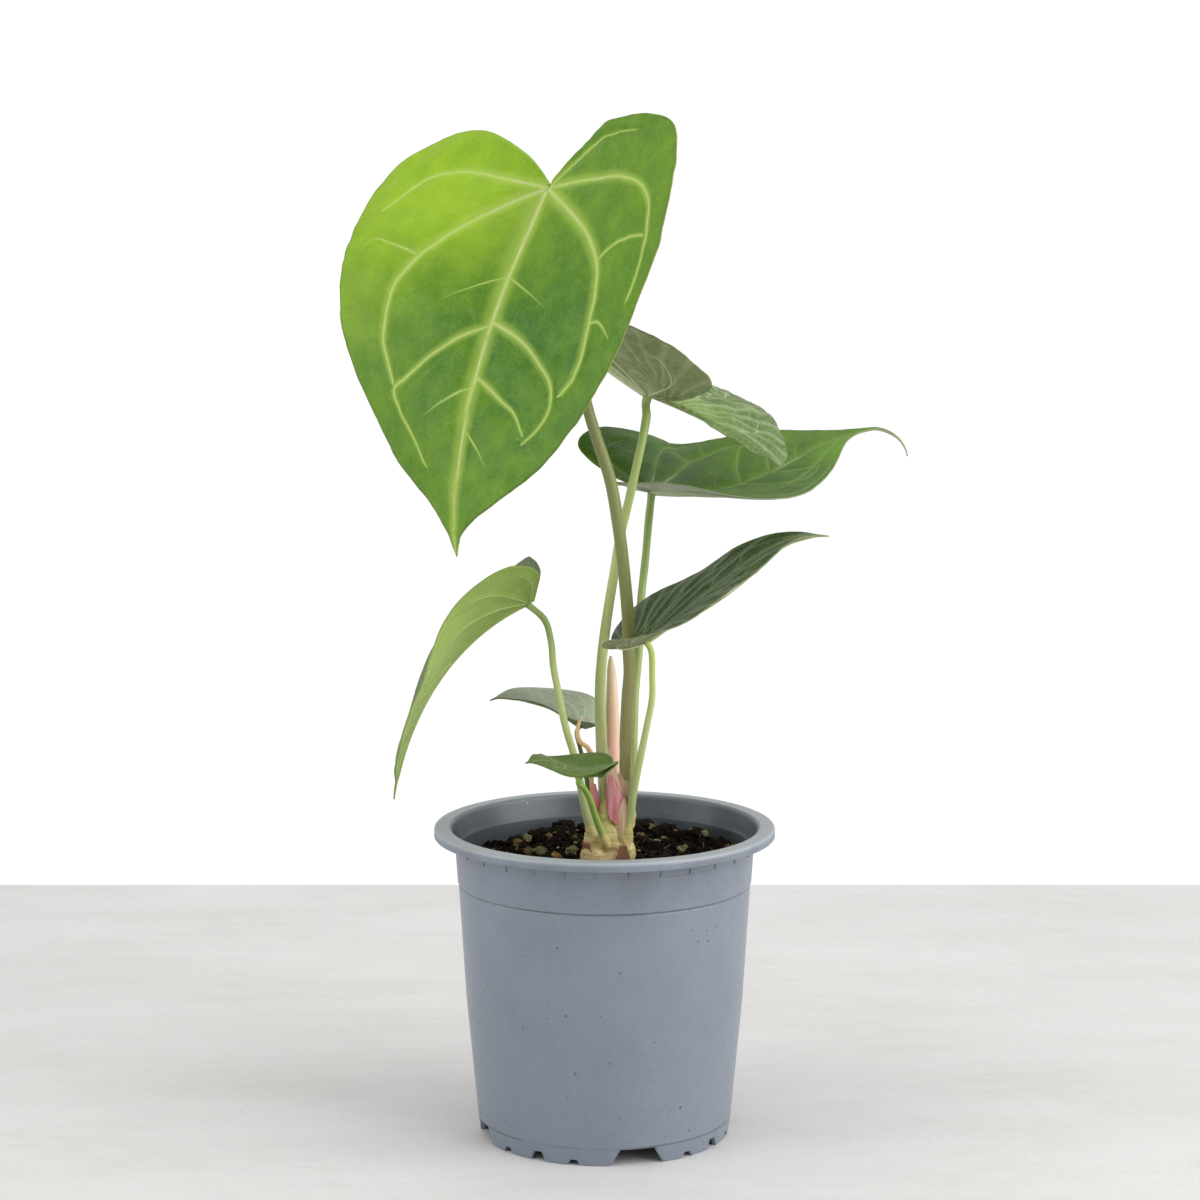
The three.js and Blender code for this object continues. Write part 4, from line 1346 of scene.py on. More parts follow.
        def place(turn: Array, share: Array) -> Array:
            """Gives the sheet's points from their shares round and out."""
            corner = rim[np.rint(turn * self.turns).astype(int)]
            across, along = corner[:, 0] * share, corner[:, 1] * share
            lift = self.wave * share**3 * np.sin(np.pi * turn)
            lift = lift * np.sin(2 * np.pi * self.WAVES * turn + side.value)
            closest = np.abs(across)
            taper = np.clip(along / self.length, 0, 1)
            midrib = (MIDRIB_ROOT + (MIDRIB_TIP - MIDRIB_ROOT) * taper) * self.vein_size
            midrib = np.where(along < 0, midrib * np.clip(1 + along, 0, 1), midrib)
            for order in VeinOrder:
                away, width = self.nearest(across, along, side, order)
                values[order.value], values[f"{order.value}_width"] = away, width
                detour = self.FAINT_DETOUR * np.clip(self.FAINT_WIDTH - width, 0, None)
                closest = np.minimum(closest, np.abs(away) + detour)
            swell = 1 - np.exp(-((closest / (self.SWELL_REACH * self.size)) ** 2))
            margin = np.interp(along, shoulder[:, 1], shoulder[:, 0]) - across
            inward = np.clip(margin / (self.MARGIN_REACH * self.size), 0, 1)
            edge = np.minimum(np.clip((1 - share) * 6, 0, 1), inward)
            groove = np.exp(-((closest / self.GROOVE_REACH) ** 2))
            lift = lift + self.quilt * swell * edge - self.groove * groove
            fan = self._fan_phase(across, along)
            ridge = np.cos(2 * np.pi * fan) * np.clip(share * 3, 0, 1) * edge
            lift = lift - self.fan_height * ridge
            flat = np.stack((across * side.value, along, np.zeros_like(across)), axis=1)
            seat = flat + np.array(self.attach)
            coarse, fine = self.SWELLS
            swells = rumple(seat, coarse) + self.FINE_SWELL * rumple(seat + 70, fine)
            lift = lift + self.crinkle * self.size * swells * np.clip(share * 2, 0, 1)
            values.update(across=across, midrib_width=midrib, share=share, fan=fan)
            values["tone"] = self.tone_at(across, along, side)
            values["flat"] = flat / 100
            return self.surface(across, along, side, lift)

        verts = formed_grid(bm, self.turns, self.rings, place)
        for index, vert in enumerate(verts):
            vert[plane] = values["flat"][index]
            for name, layer in layers.items():
                vert[layer] = values[name][index]

    def _fan_phase(self, across: Array, along: Array) -> Array:
        """Counts the fine side veins, which leave the petiole and the midrib and bend forward.

        Args:
            across: Distance from the midrib, mm.
            along: Distance along the midrib, mm.

        Returns:
            The count at each point, whole on the ridges between the veins.
        """
        reach = max(self.widths)
        forward = along / self.length - self.FAN_BEND * (np.abs(across) / reach) ** self.FAN_POWER
        around = np.arctan2(along + self.FAN_BACK * self.length, across + 1e-6) / np.pi
        lobe = np.clip((self.LOBE_END - along / self.length) / self.LOBE_REACH, 0, 1)
        turned = np.maximum(self.fan_turn, lobe * lobe * (3 - 2 * lobe))
        return self.fan_count * (forward * (1 - turned) + self.FAN_TURNED * around * turned)

    def _face_up(self, bm: Mesh) -> None:
        """Turns all faces so that the upper side's normal points up from the blade.

        Args:
            bm: The blade's bmesh.
        """
        _, _, up = self.directions(np.array([0.5]))
        half_way = np.array([0.5 * self.length])
        middle = Vector(self.surface(np.zeros(1), half_way, Side.RIGHT, np.zeros(1))[0])
        face = min(bm.faces, key=lambda f: (f.calc_center_median() / MM - middle).length)
        if face.normal.dot(Vector(up[0])) < 0:
            bmesh.ops.reverse_faces(bm, faces=bm.faces)

    def _ribs(self) -> None:
        """Builds the raised midrib and main veins of the underside as one piece."""
        heap = Heap()
        size = self.vein_size
        reach = self.length * (1 - 0.8 * self.tail)
        spine = np.stack((np.zeros(70), np.linspace(0.5, reach, 70)), axis=1)
        root, tip = self.MIDRIB_RIB
        self._rib(heap, spine, Side.RIGHT, root * size, tip * size)
        for side in Side:
            plan = self.half(self.plans, side)
            for veins, count, gain, tip in ((plan.basal, 50, 1.05, 0.16), (plan.lateral, 24, 1.0, 0.12)):
                for vein in veins:
                    self._rib(heap, self.vein_line(vein, side, count), side, vein.root * size * gain, tip)
        colour = FleshFinish(
            name=f"{self.node}_rib", low=self.finish.under_vein, high=self.finish.under_vein,
            blush=self.finish.under_light, bottom=0, top=400, blotch=0.35, scale=120.0, roughness=0.42)
        finished(f"{self.node}_ribs", heap.poured(), [colour.material()])

    def _rib(self, heap: Heap, line: Array, side: Side, root: float, tip: float) -> None:
        """Adds one rib below the blade.

        Args:
            heap: Where the ribs are gathered.
            line: Flat points of the rib, mm.
            side: The half that it lies on.
            root: Radius where it starts, mm.
            tip: Radius where it ends, mm.
        """
        radii = np.linspace(root, tip, len(line)) * self.rib
        radii[0] *= 0.6
        radii[-len(self.RIB_TIP):] *= self.RIB_TIP
        depth = -(self.THICKNESS / 2 + radii * 0.15 + self.groove)
        centres = self.surface(line[:, 0], line[:, 1], side, depth)
        heap.add(tube(centres, radii, self.RIB_SIDES))


@dataclass
class Stem:
    """A round stem along a route: a leaf stalk, the new shoot or a dried bract.

    Attributes:
        node: The CAD node that it replaces.
        slot: Name of its material slot; not used here.
        route: Centre points, mm from the pot's axis.
        girth: Pairs of a share of the length and the radius there, mm.
        finish: Its colours.
        flat: Share by which it is flattened.
        ripple: Depth of the lengthwise ripples, in shares of the radius.
        sides: Number of sides.
        step: Distance of the rings, mm.
    """

    node: str
    slot: str
    route: Sequence[Sequence[float]]
    girth: Sequence[tuple[float, float]]
    finish: StalkFinish | FleshFinish
    flat: float = 0.0
    ripple: float = 0.03
    sides: int = 28
    step: float = 0.8

    FEWEST_RINGS = 24
    EASE = 9
    GROOVES = 5

    def build(self) -> None:
        """Builds the stem."""
        points = np.array(self.route, float) + np.array(AXIS)
        length = float(np.sum(np.linalg.norm(np.diff(points, axis=0), axis=1)))
        count = max(self.FEWEST_RINGS, int(length / self.step))
        line = rounded_route(points, count)
        share = np.linspace(0, 1, count)
        radius = np.interp(share, *zip(*self.girth))
        kernel = np.hanning(self.EASE) / np.hanning(self.EASE).sum()
        radius = np.convolve(np.pad(radius, self.EASE // 2, mode="edge"), kernel, mode="valid")
        angle = 2 * np.pi * np.arange(self.sides) / self.sides
        ring = 1 - self.flat * np.abs(np.sin(angle))
        swell = self.ripple * rumple(line, 9.0)[:, None]
        grooves = 0.35 * self.ripple * np.cos(self.GROOVES * angle + 2 * share[:, None])
        bm = tube(line, radius[:, None] * ring * (1 + swell + grooves), self.sides)
        finished(self.node, bm, [self.finish.material()], [self.node])


@dataclass
class Stalk:
    """A leaf stalk that ends under its blade.

    Attributes:
        node: The CAD node that it replaces.
        slot: Name of its material slot, passed on to its stem.
        route: Centre points from the crown to below the neck, mm from the pot's axis.
        radii: Radius at the foot, half way and at the top, mm.
        neck: Length of the bent neck under the blade, mm.
        blade: The blade that it carries.
        finish: Its colours.
        joint: Share of the length at which a joint swells it.
    """

    node: str
    slot: str
    route: Sequence[Sequence[float]]
    radii: tuple[float, float, float]
    neck: float
    blade: Blade
    finish: StalkFinish
    joint: float = 0.0

    SEAT = 0.6
    SUNK = 0.25
    FLARE = 1.25
    KNEE = 1.12
    JOINT_REACH = 0.03
    JOINT_SWELL = 1.2

    def build(self) -> None:
        """Builds the stalk up into the blade's underside."""
        foot, middle, top = self.radii
        along, _, up = (axis[0] for axis in self.blade.directions(np.array([0.0])))
        seat = np.array(self.blade.attach) + along * top * self.SEAT
        necks = [seat - up * self.neck] if self.neck else []
        route = [*self.route, *necks, seat - up * self.SUNK]
        girth = [(0, foot * 1.12), (0.04, foot * 1.04), (0.12, foot), (0.5, middle), (0.85, top * 1.05)]
        girth += [(0.93, top * self.KNEE), (0.97, top), (1, top * self.FLARE)]
        if self.joint:
            swollen = ((-self.JOINT_REACH, 1.0), (0.0, self.JOINT_SWELL), (self.JOINT_REACH, 1.0))
            girth += [(self.joint + offset, middle * gain) for offset, gain in swollen]
        Stem(self.node, self.slot, route, sorted(girth), self.finish).build()


@dataclass
class Sheath:
    """A thin pointed scale bent round an upright axis.

    Attributes:
        node: The CAD node that it replaces, or a name of its own.
        slot: Name of its material slot; not used here.
        centre: Place of the axis, mm from the pot's axis.
        radius: Radius of the bend, mm.
        heights: Height of the foot and of the point, mm.
        angles: Compass angles of its two edges at the foot, degrees.
        lean: How far the point leans sideways, in shares of the width.
        finish: Its colours.
        flare: How far the point stands off, mm.
        blunt: Width share of the point.
        torn: Height of the ragged bites in the upper edge, mm.
        waist: Width share of the foot.
        swap: Whether it stands for a CAD node.
    """

    node: str
    slot: str
    centre: tuple[float, float]
    radius: float
    heights: tuple[float, float]
    angles: tuple[float, float]
    lean: float
    finish: FleshFinish
    flare: float = 0.0
    blunt: float = 0.05
    torn: float = 0.0
    waist: float = 1.0
    swap: bool = True

    THICKNESS = 0.35
    TAPER = 0.8
    WAIST_END = 0.45
    RIBS = 6
    RIB_HEIGHT = 0.07
    CURL = 0.25
    COLUMNS = 36
    ROWS = 40

    def build(self) -> None:
        """Builds the scale with curled edges and lengthwise ribs."""

        def place(column: Array, row: Array) -> Array:
            """Gives the scale's points from the shares across and up."""
            width = np.maximum(self.blunt, np.cos(row * np.pi / 2) ** self.TAPER)
            opening = np.sin(np.clip(row / self.WAIST_END, 0, 1) * np.pi / 2)
            width = width * (self.waist + (1 - self.waist) * opening)
            across = 0.5 + self.lean * row + (column - 0.5) * width
            angle = np.radians(self.angles[0] + (self.angles[1] - self.angles[0]) * across)
            ribs = self.RIB_HEIGHT * np.cos(column * 2 * np.pi * self.RIBS)
            curled = self.CURL * (2 * column - 1) ** 4
            radius = self.radius + (ribs + curled) + self.flare * row**2
            height = self.heights[0] + (self.heights[1] - self.heights[0]) * row
            bites = np.sin(column * 23 + 1) + 0.6 * np.sin(column * 51 + 4)
            height = height + self.torn * row**3 * bites
            x = self.centre[0] + radius * np.cos(angle)
            y = self.centre[1] + radius * np.sin(angle)
            return np.stack((x, y, height), axis=1) + np.array(AXIS)

        bm = bmesh.new()
        formed_grid(bm, self.COLUMNS, self.ROWS, place)
        stands_for = [self.node] if self.swap else ()
        walled(finished(self.node, bm, [self.finish.material()], stands_for), self.THICKNESS)


@dataclass
class Crown:
    """The short stem with its knobs and a stump below each stem.

    Attributes:
        stems: First two route points and foot radius of each stem on it, mm.
        centre: Place of the stem's axis, mm from the pot's axis.
        knobs: Bulges as place and radius in x, y and z, mm.
    """

    stems: Sequence[tuple[Sequence[float], Sequence[float], float]]
    centre: tuple[float, float] = (1.3, 0.0)
    knobs: Sequence[tuple[Point, Point]] = (
        ((1.3, 0.0, 89.0), (8.2, 8.2, 11.5)),
        ((1.6, 0.4, 100.0), (7.6, 7.8, 8.2)),
        ((0.4, -1.4, 107.0), (4.4, 4.0, 7.2)),
        ((-4.0, -5.2, 100.6), (4.6, 4.2, 4.6)),
        ((7.6, -2.6, 101.0), (3.4, 3.8, 5.4)),
        ((6.6, -3.6, 107.0), (3.1, 3.6, 6.2)),
        ((-4.2, -3.0, 105.4), (3.2, 3.6, 5.6)),
        ((5.4, 2.6, 105.6), (4.8, 4.6, 7.0)),
        ((-1.6, 3.6, 104.6), (4.4, 4.2, 6.8)),
        ((3.2, -6.6, 98.6), (4.0, 2.8, 3.6)),
        ((3.6, -4.4, 103.4), (3.6, 3.2, 4.2)),
        ((0.9, -1.2, 112.8), (3.5, 3.3, 7.4)),
        ((1.9, -3.6, 107.2), (4.6, 3.9, 5.6)),
    )

    STEP = 0.32
    EASING = 12
    ROOT_HEIGHT = 98.0
    ROOT_SHARE = 0.3
    SUNK = 3.2
    RISEN = 4.0
    RINGS = 20
    FLARE_AT = (0, 0.4, 0.6, 0.78, 1)
    FLARE = (1.55, 1.5, 1.38, 1.2, 0.8)
    SCAR_DEPTH = 0.16
    DENT_DEPTH = 0.22
    DENT_SIZE = 2.6
    FINISH = FleshFinish(
        name="crown_flesh", low=rgb(226, 206, 146), high=rgb(188, 188, 114),
        blush=rgb(176, 140, 94), bottom=99, top=116, blotch=0.55, scale=190.0, roughness=0.28)

    def build(self) -> None:
        """Builds the crown as one skin over its knobs and stumps."""
        heap = Heap()
        for middle, size in self.knobs:
            seat = Matrix.Translation((Vector(middle) + AXIS) * MM)
            knob = bmesh.new()
            bmesh.ops.create_icosphere(
                knob, subdivisions=4, radius=1, matrix=seat @ Matrix.Diagonal((*(Vector(size) * MM), 1)))
            heap.add(knob)
        for foot, following, radius in self.stems:
            base = np.array((*self.centre, self.ROOT_HEIGHT))
            top = np.array(foot)
            lean = np.array(following) - top
            lean = lean / np.linalg.norm(lean)
            route = [base + (top - base) * self.ROOT_SHARE, top - lean * self.SUNK, top + lean * self.RISEN]
            line = rounded_route(np.array(route) + np.array(AXIS), self.RINGS)
            flare = np.interp(np.linspace(0, 1, self.RINGS), self.FLARE_AT, self.FLARE)
            heap.add(tube(line, radius * flare, self.RINGS))
        piece = finished("crown", heap.poured(), [self.FINISH.material()], ["crown"])
        skin = piece.modifiers.new("skin", "REMESH")
        skin.mode = "VOXEL"
        skin.voxel_size = self.STEP * MM
        even = piece.modifiers.new("even", "SMOOTH")
        even.iterations = self.EASING
        settled(piece)
        self._weather(piece)

    def _weather(self, piece: Piece) -> None:
        """Adds ring scars and small dents to the crown's skin.

        Args:
            piece: The crown.
        """
        points = np.array([vert.co for vert in piece.data.vertices]) / MM
        normals = np.array([vert.normal for vert in piece.data.vertices])
        scars = -self.SCAR_DEPTH * np.maximum(0, np.cos(points[:, 2] * 2.1 + points[:, 0] * 0.3)) ** 8
        depth = scars + self.DENT_DEPTH * rumple(points, self.DENT_SIZE, 4)
        moved = (points + normals * depth[:, None]) * MM
        for vert, point in zip(piece.data.vertices, moved):
            vert.co = point


@dataclass
class Pot:
    """The round nursery pot with its ribbed band, wide rim and footed base, in mm and degrees.

    The steps, the belly and the base are pairs of a radius and a height. The cuts are the gap and
    the notches in each quarter of the foot ring, as offset, width, height and slope. A rib's size
    is its depth and width.
    """

    height: float = 110.5
    rim_radius: float = 60.0
    rim_lip: float = 3.4
    mouth_radius: float = 54.1
    band_radius: float = 53.2
    upper_step: tuple[float, float] = (52.6, 102.9)
    lower_step: tuple[float, float] = (51.8, 90.9)
    belly: tuple[float, float] = (48.9, 48.0)
    base: tuple[float, float] = (45.0, 6.5)
    foot_radius: float = 44.1
    wall: float = 1.2
    rib_count: int = 30
    rib_turn: float = 0.25
    rib_size: tuple[float, float] = (0.8, 0.5)
    rib_bevel: float = 0.14
    foot_gap: float = -75.0
    cuts: tuple[tuple[float, float, float, float], ...] = (
        (0.0, 25.0, 5.7, 4.5), (25.5, 6.0, 2.0, 1.5), (43.5, 8.0, 3.4, 2.0), (61.0, 6.0, 2.0, 1.5))
    drain_ring: float = 36.5
    drain_radius: float = 3.6
    sides: int = 720

    QUARTERS = 4
    SPLIT_ANGLE = 38.0
    OUTSIDE = PlasticFinish(
        name="grey_plastic", body=rgb(112, 121, 134), worn=rgb(138, 146, 157),
        dirt=rgb(56, 46, 38), lime=rgb(206, 204, 190), rim=rgb(190, 196, 198),
        seams=(6.4, 90.5), gloss_roughness=0.29)
    # A darker copy of the same plastic for the inner wall: painted shade inside the pot.
    SHADED_INSIDE = PlasticFinish(
        name="inner_plastic_shaded", body=rgb(74, 80, 90), worn=rgb(108, 116, 124),
        dirt=rgb(40, 33, 27), lime=rgb(180, 182, 172), rim=rgb(150, 158, 160),
        gloss_roughness=0.3)

    def inner_radius(self, height: float) -> float:
        """Gives the radius of the inner wall at a height, mm."""
        stations = [(r - self.wall, z) for r, z in (self.base, self.belly, self.upper_step)]
        radii, heights = zip(*stations)
        return float(np.interp(height, heights, radii))

    def _profile(self) -> Array:
        """Draws the wall's section from under the base, up, over the rim and down inside."""
        base_r, base_z = self.base
        floor_top = base_z + self.wall
        lip = self.height - self.rim_lip
        under = self.height - self.wall
        inner_foot = self.foot_radius - self.wall
        corners = [
            ((inner_foot, base_z), 0.0), ((inner_foot - 0.3, 0.0), 0.3), ((self.foot_radius, 0.0), 0.3),
            ((base_r, base_z), 0.3), (self.belly, 0.0),
            ((self.lower_step[0] - 0.35, self.lower_step[1] - 1), 0.25),
            ((self.lower_step[0] - 0.75, self.lower_step[1] - 0.45), 0.1), (self.lower_step, 0.2),
            (self.upper_step, 0.15), ((self.band_radius, self.upper_step[1] + 0.5), 0.15),
            ((self.mouth_radius + 0.4, under), 0.4), ((self.rim_radius - self.wall, under), 0.25),
            ((self.rim_radius - self.wall, lip), 0.35), ((self.rim_radius, lip), 0.35),
            ((self.rim_radius, self.height), 1.1), ((self.mouth_radius, self.height), 1.1),
            ((self.band_radius - self.wall, self.upper_step[1] + 1), 0.4),
            ((self.upper_step[0] - self.wall, self.upper_step[1]), 0.4),
            ((self.belly[0] - self.wall, self.belly[1]), 0.0),
            ((self.inner_radius(floor_top), floor_top), 0.0),
        ]
        points = []
        for index, (corner, radius) in enumerate(corners):
            here = np.array(corner)
            if radius == 0.0 or index in (0, len(corners) - 1):
                points.append(here)
                continue
            back = np.array(corners[index - 1][0]) - here
            ahead = np.array(corners[index + 1][0]) - here
            start = here + back / np.linalg.norm(back) * radius
            end = here + ahead / np.linalg.norm(ahead) * radius
            for t in np.linspace(0, 1, 6):
                points.append((1 - t) ** 2 * start + 2 * t * (1 - t) * here + t**2 * end)
        return np.array(points)

    def build(self) -> None:
        """Builds the pot."""
        section = self._profile()
        rows = len(section) - 1

        def place(turn: Array, share: Array) -> Array:
            """Gives the wall's points from the shares round and along the section."""
            angle = 360 * np.rint(turn * self.sides) / self.sides
            corner = section[np.rint(share * rows).astype(int)]
            height = corner[:, 1]
            in_foot = corner[:, 1] < self.base[1] - 0.5
            for quarter in range(self.QUARTERS):
                for offset, width, cut, slope in self.cuts:
                    middle = self.foot_gap + 90 * quarter + offset
                    away = np.abs((angle - middle + 180) % 360 - 180)
                    lifted = cut * np.clip((width / 2 - away) / slope, 0, 1)
                    height = np.where(in_foot, np.maximum(height, lifted), height)
            turned = np.radians(angle)
            x, y = corner[:, 0] * np.cos(turned), corner[:, 0] * np.sin(turned)
            return np.stack((x, y, height), axis=1) + np.array(AXIS)

        bm = bmesh.new()
        verts = formed_grid(bm, self.sides, rows, place)
        bmesh.ops.remove_doubles(bm, verts=verts, dist=1e-7)
        self._base_plate(bm)
        bmesh.ops.recalc_face_normals(bm, faces=bm.faces)
        self._ribs(bm)
        # Inner wall faces take the darker copy of the plastic, painted shade.
        reach = self.mouth_radius + 0.6
        for face in bm.faces:
            middle = face.calc_center_median() / MM - AXIS
            outward = face.normal.xy.dot(middle.xy.normalized())
            if outward < -0.3 and middle.z > self.base[1] and middle.xy.length < reach:
                face.material_index = 1
        piece = finished(
            "pot", bm, [self.OUTSIDE.material(), self.SHADED_INSIDE.material()], ["pot"])
        sharp = piece.modifiers.new("sharp", "EDGE_SPLIT")
        sharp.split_angle = math.radians(self.SPLIT_ANGLE)

    def _base_plate(self, bm: Mesh) -> None:
        """Closes the base with two plates that have drain holes between them.

        Args:
            bm: The pot's bmesh.
        """
        open_edges = [edge for edge in bm.edges if edge.is_boundary]
        rings = []
        for height in (self.base[1], self.base[1] + self.wall):
            outer = [e for e in open_edges if abs(e.verts[0].co.z / MM - height) < 0.01]
            holes = []
            for quarter in range(self.QUARTERS):
                angle = math.radians(self.foot_gap + 90 * quarter)
                offset = Vector((math.cos(angle), math.sin(angle), 0)) * self.drain_ring
                place = Matrix.Translation((offset + AXIS + Vector((0, 0, height))) * MM)
                made = bmesh.ops.create_circle(
                    bm, segments=40, radius=self.drain_radius * MM, matrix=place)
                holes.append(edges_of(made["verts"]))
            rims = outer + [edge for hole in holes for edge in hole]
            bmesh.ops.triangle_fill(bm, use_beauty=True, edges=rims)
            rings.append(holes)
        for lower, upper in zip(*rings):
            bmesh.ops.bridge_loops(bm, edges=lower + upper)

    def _ribs(self, bm: Mesh) -> None:
        """Adds the upright ribs of the band under the rim.

        Args:
            bm: The pot's bmesh.
        """
        low, high = self.upper_step[1], self.height - self.wall
        lean = math.atan((self.mouth_radius + 0.4 - self.band_radius) / (high - low))
        foot = Matrix.Translation(Vector((self.band_radius, 0, low + 0.4)) * MM)
        half_way = Matrix.Translation(Vector((0, 0, (high - low) / 2)) * MM)
        size = Matrix.Diagonal((*(Vector((*self.rib_size, high - low + 0.2)) * MM), 1))
        tilt = Matrix.Rotation(lean, 4, "Y")
        for index in range(self.rib_count):
            turn = Matrix.Rotation(2 * math.pi * (index + self.rib_turn) / self.rib_count, 4, "Z")
            place = Matrix.Translation(AXIS * MM) @ (turn @ foot @ tilt @ half_way) @ size
            made = bmesh.ops.create_cube(bm, size=1, matrix=place)
            bmesh.ops.bevel(
                bm, geom=edges_of(made["verts"]), offset=self.rib_bevel * MM, segments=2, profile=0.5,
                affect="EDGES", material=-1)


PEAT = EarthFinish(
    "peat", rgb(6, 5, 5), rgb(18, 15, 13), rgb(62, 50, 42), 240.0, 0.15, relief=0.9)
CRUMB = EarthFinish("crumb_brown", rgb(7, 6, 5), rgb(26, 20, 17), rgb(84, 68, 54), 420.0, 0.2)
BARK = EarthFinish("bark_tan", rgb(58, 42, 27), rgb(124, 98, 66), rgb(190, 166, 122), 520.0)
MOSS = EarthFinish(
    "moss_green", rgb(62, 62, 40), rgb(122, 124, 84), rgb(196, 192, 144), 620.0, 0.6)
WHITE = EarthFinish(
    "perlite_white", rgb(170, 168, 158), rgb(226, 224, 214), rgb(244, 243, 236), 500.0)
CLUMP = EarthFinish(
    "clump_dark", rgb(7, 6, 5), rgb(26, 20, 16), rgb(96, 78, 60), 520.0, 0.22, relief=0.9)
OCHRE = EarthFinish("lump_ochre", rgb(120, 88, 42), rgb(182, 142, 80), rgb(214, 182, 124), 330.0)


@dataclass
class Soil:
    """Peat in the pot with fibres, bark, lumps and perlite.

    Attributes:
        pot: The pot that holds it.
        level: Height of its top at the wall, mm.
        crowning: How much it rises to the middle, mm.
        crown: Centre and radius of the crown in it, mm.
    """

    pot: Pot
    level: float = 96.2
    crowning: float = 0.6
    crown: tuple[float, float, float] = (1.3, 0.0, 9.0)

    LUMPS = {
        Lump.GREEN: (
            (-35.2, 5, 2.2), (-11.6, 14, 2.9), (24, 38, 1.7), (12.6, -13.5, 2.3), (36, 8, 2.2),
            (32, -6.5, 1.5), (-28, 21, 2), (-23, 12, 2.4), (17, 36, 1.6), (36, 24, 1.5), (28, 12, 2.1),
            (-10, -36, 2.2)),
        Lump.TAN: (
            (-31, 16, 2), (-27, 8, 1.8), (20, 40, 1.9), (13, 30, 1.5), (45.6, 12, 1.9), (39.5, -4, 1.6),
            (-30.5, 16, 1.5), (-20, 24, 1.4), (14, 30, 1.3), (44, 14, 1.4), (-35, -14, 2)),
        Lump.DARK: (
            (-14.5, 40, 4.2), (-15.5, 31, 3.6), (-31, 20, 4.6), (-23, 27, 5), (-7, 42, 4.4), (13, 38, 5.2),
            (22, 30, 4.6), (33, 26, 4.2), (41, 16, 3.6), (-38, 8, 3.4), (-20, -8, 3.4)),
        Lump.OCHRE: (
            (-17.5, 1.5, 2.3), (47.2, 6, 1.7), (22, -34, 2.4)),
    }
    MOUNDS = ((20, 34, 13, 3.4), (38, 20, 10, 2.6), (-16, 30, 10, 3.2), (-31, 14, 8, 2.2))
    ROUGHNESS = ((2.0, 0.0, 12.0, 2), (1.2, 40.0, 4.2, 3), (0.5, 80.0, 1.5, 2))
    CRUMBS = 1700
    FIBRES = 260
    CHIPS = 110
    PERLITE = 46
    GAP = 0.3
    SEED = 11

    def _height(self, x: Array, y: Array) -> Array:
        """Gives the height of the bare top.

        Args:
            x: Places to the right of the pot's axis, mm.
            y: Places behind it, mm.

        Returns:
            Heights, mm.
        """
        flat = np.stack((x, y, np.zeros_like(x)), axis=1)
        near = np.hypot(x - self.crown[0], y - self.crown[1])
        clear = np.clip((near - self.crown[2] - 1) / 6, 0.25, 1)
        rough = sum(gain * rumple(flat + shift, size, depth) for gain, shift, size, depth in self.ROUGHNESS)
        for middle_x, middle_y, reach, rise in self.MOUNDS:
            rough = rough + rise * np.exp(-((x - middle_x) ** 2 + (y - middle_y) ** 2) / reach**2)
        return self.level + self.crowning + rough * clear

    def _bare(self, x: float, y: float) -> float:
        """Gives the height of the bare top at one place, mm."""
        return self._height(np.array([x]), np.array([y]))[0]

    def _clump_height(self, x: float, y: float, radius: float) -> float:
        """Gives the height of a dark clump's middle, mm."""
        return self._bare(x, y) + 0.12 * radius

    def _rest(self, x: float, y: float) -> float:
        """Gives the height that a small lump rests on, on the bare top or on a dark clump.

        Args:
            x: Its place to the right of the pot's axis, mm.
            y: Its place behind it, mm.

        Returns:
            The height, mm.
        """
        support = self._bare(x, y)
        for cx, cy, radius in self.LUMPS[Lump.DARK]:
            away = math.hypot(x - cx, y - cy) / radius
            if away < 0.9:
                top = self._clump_height(cx, cy, radius) + radius * 0.65 * math.sqrt(1 - away**2)
                support = max(support, top)
        return support

    def build(self) -> None:
        """Builds the bed and everything that lies on it."""
        self._bed(PEAT.material())
        rng = random.Random(self.SEED)
        for name, finish, count, sizes, flatness in (
            ("peat_crumbs", CRUMB, self.CRUMBS, (0.5, 1.7), 0.8),
            ("bark_chips", BARK, self.CHIPS, (0.7, 1.7), 0.42),
            ("moss_bits", MOSS, self.CHIPS, (0.6, 1.4), 0.6),
            ("perlite", WHITE, self.PERLITE, (0.35, 0.8), 0.8),
        ):
            self._grains(name, finish.material(), rng, count, sizes, flatness)
        self._fibres("peat_fibres", BARK.material(), rng)
        for kind, finish in ((Lump.GREEN, MOSS), (Lump.TAN, BARK), (Lump.DARK, CLUMP), (Lump.OCHRE, OCHRE)):
            self._lumps(kind, finish.material(), rng)

    def _bed(self, material: Material) -> None:
        """Builds the closed body of peat.

        Args:
            material: Its material.
        """
        turns, rows, top_rows = 360, 190, 170
        bottom = self.pot.base[1] + self.pot.wall + self.GAP
        edge = self.pot.inner_radius(self.level) - self.GAP

        def place(turn: Array, share: Array) -> Array:
            """Gives the bed's points from the shares round and out, down and in."""
            angle = 2 * np.pi * np.rint(turn * turns) / turns
            row = np.rint(share * rows)
            radius = edge * np.clip(row / top_rows, 0, 1) ** 0.8
            x, y = radius * np.cos(angle), radius * np.sin(angle)
            height = self._height(x, y)
            down = np.clip((row - top_rows) / (rows - 2 - top_rows), 0, 1)
            height = height + (bottom - height) * down
            wall = np.array([self.pot.inner_radius(z) for z in height]) - self.GAP
            radius = np.where(row > top_rows, wall, radius) * np.where(row == rows, 0.0, 1.0)
            x, y = radius * np.cos(angle), radius * np.sin(angle)
            return np.stack((x, y, height), axis=1) + np.array(AXIS)

        bm = bmesh.new()
        verts = formed_grid(bm, turns, rows, place)
        bmesh.ops.remove_doubles(bm, verts=verts, dist=1e-7)
        bmesh.ops.recalc_face_normals(bm, faces=bm.faces)
        finished("soil", bm, [material], ["soil"])

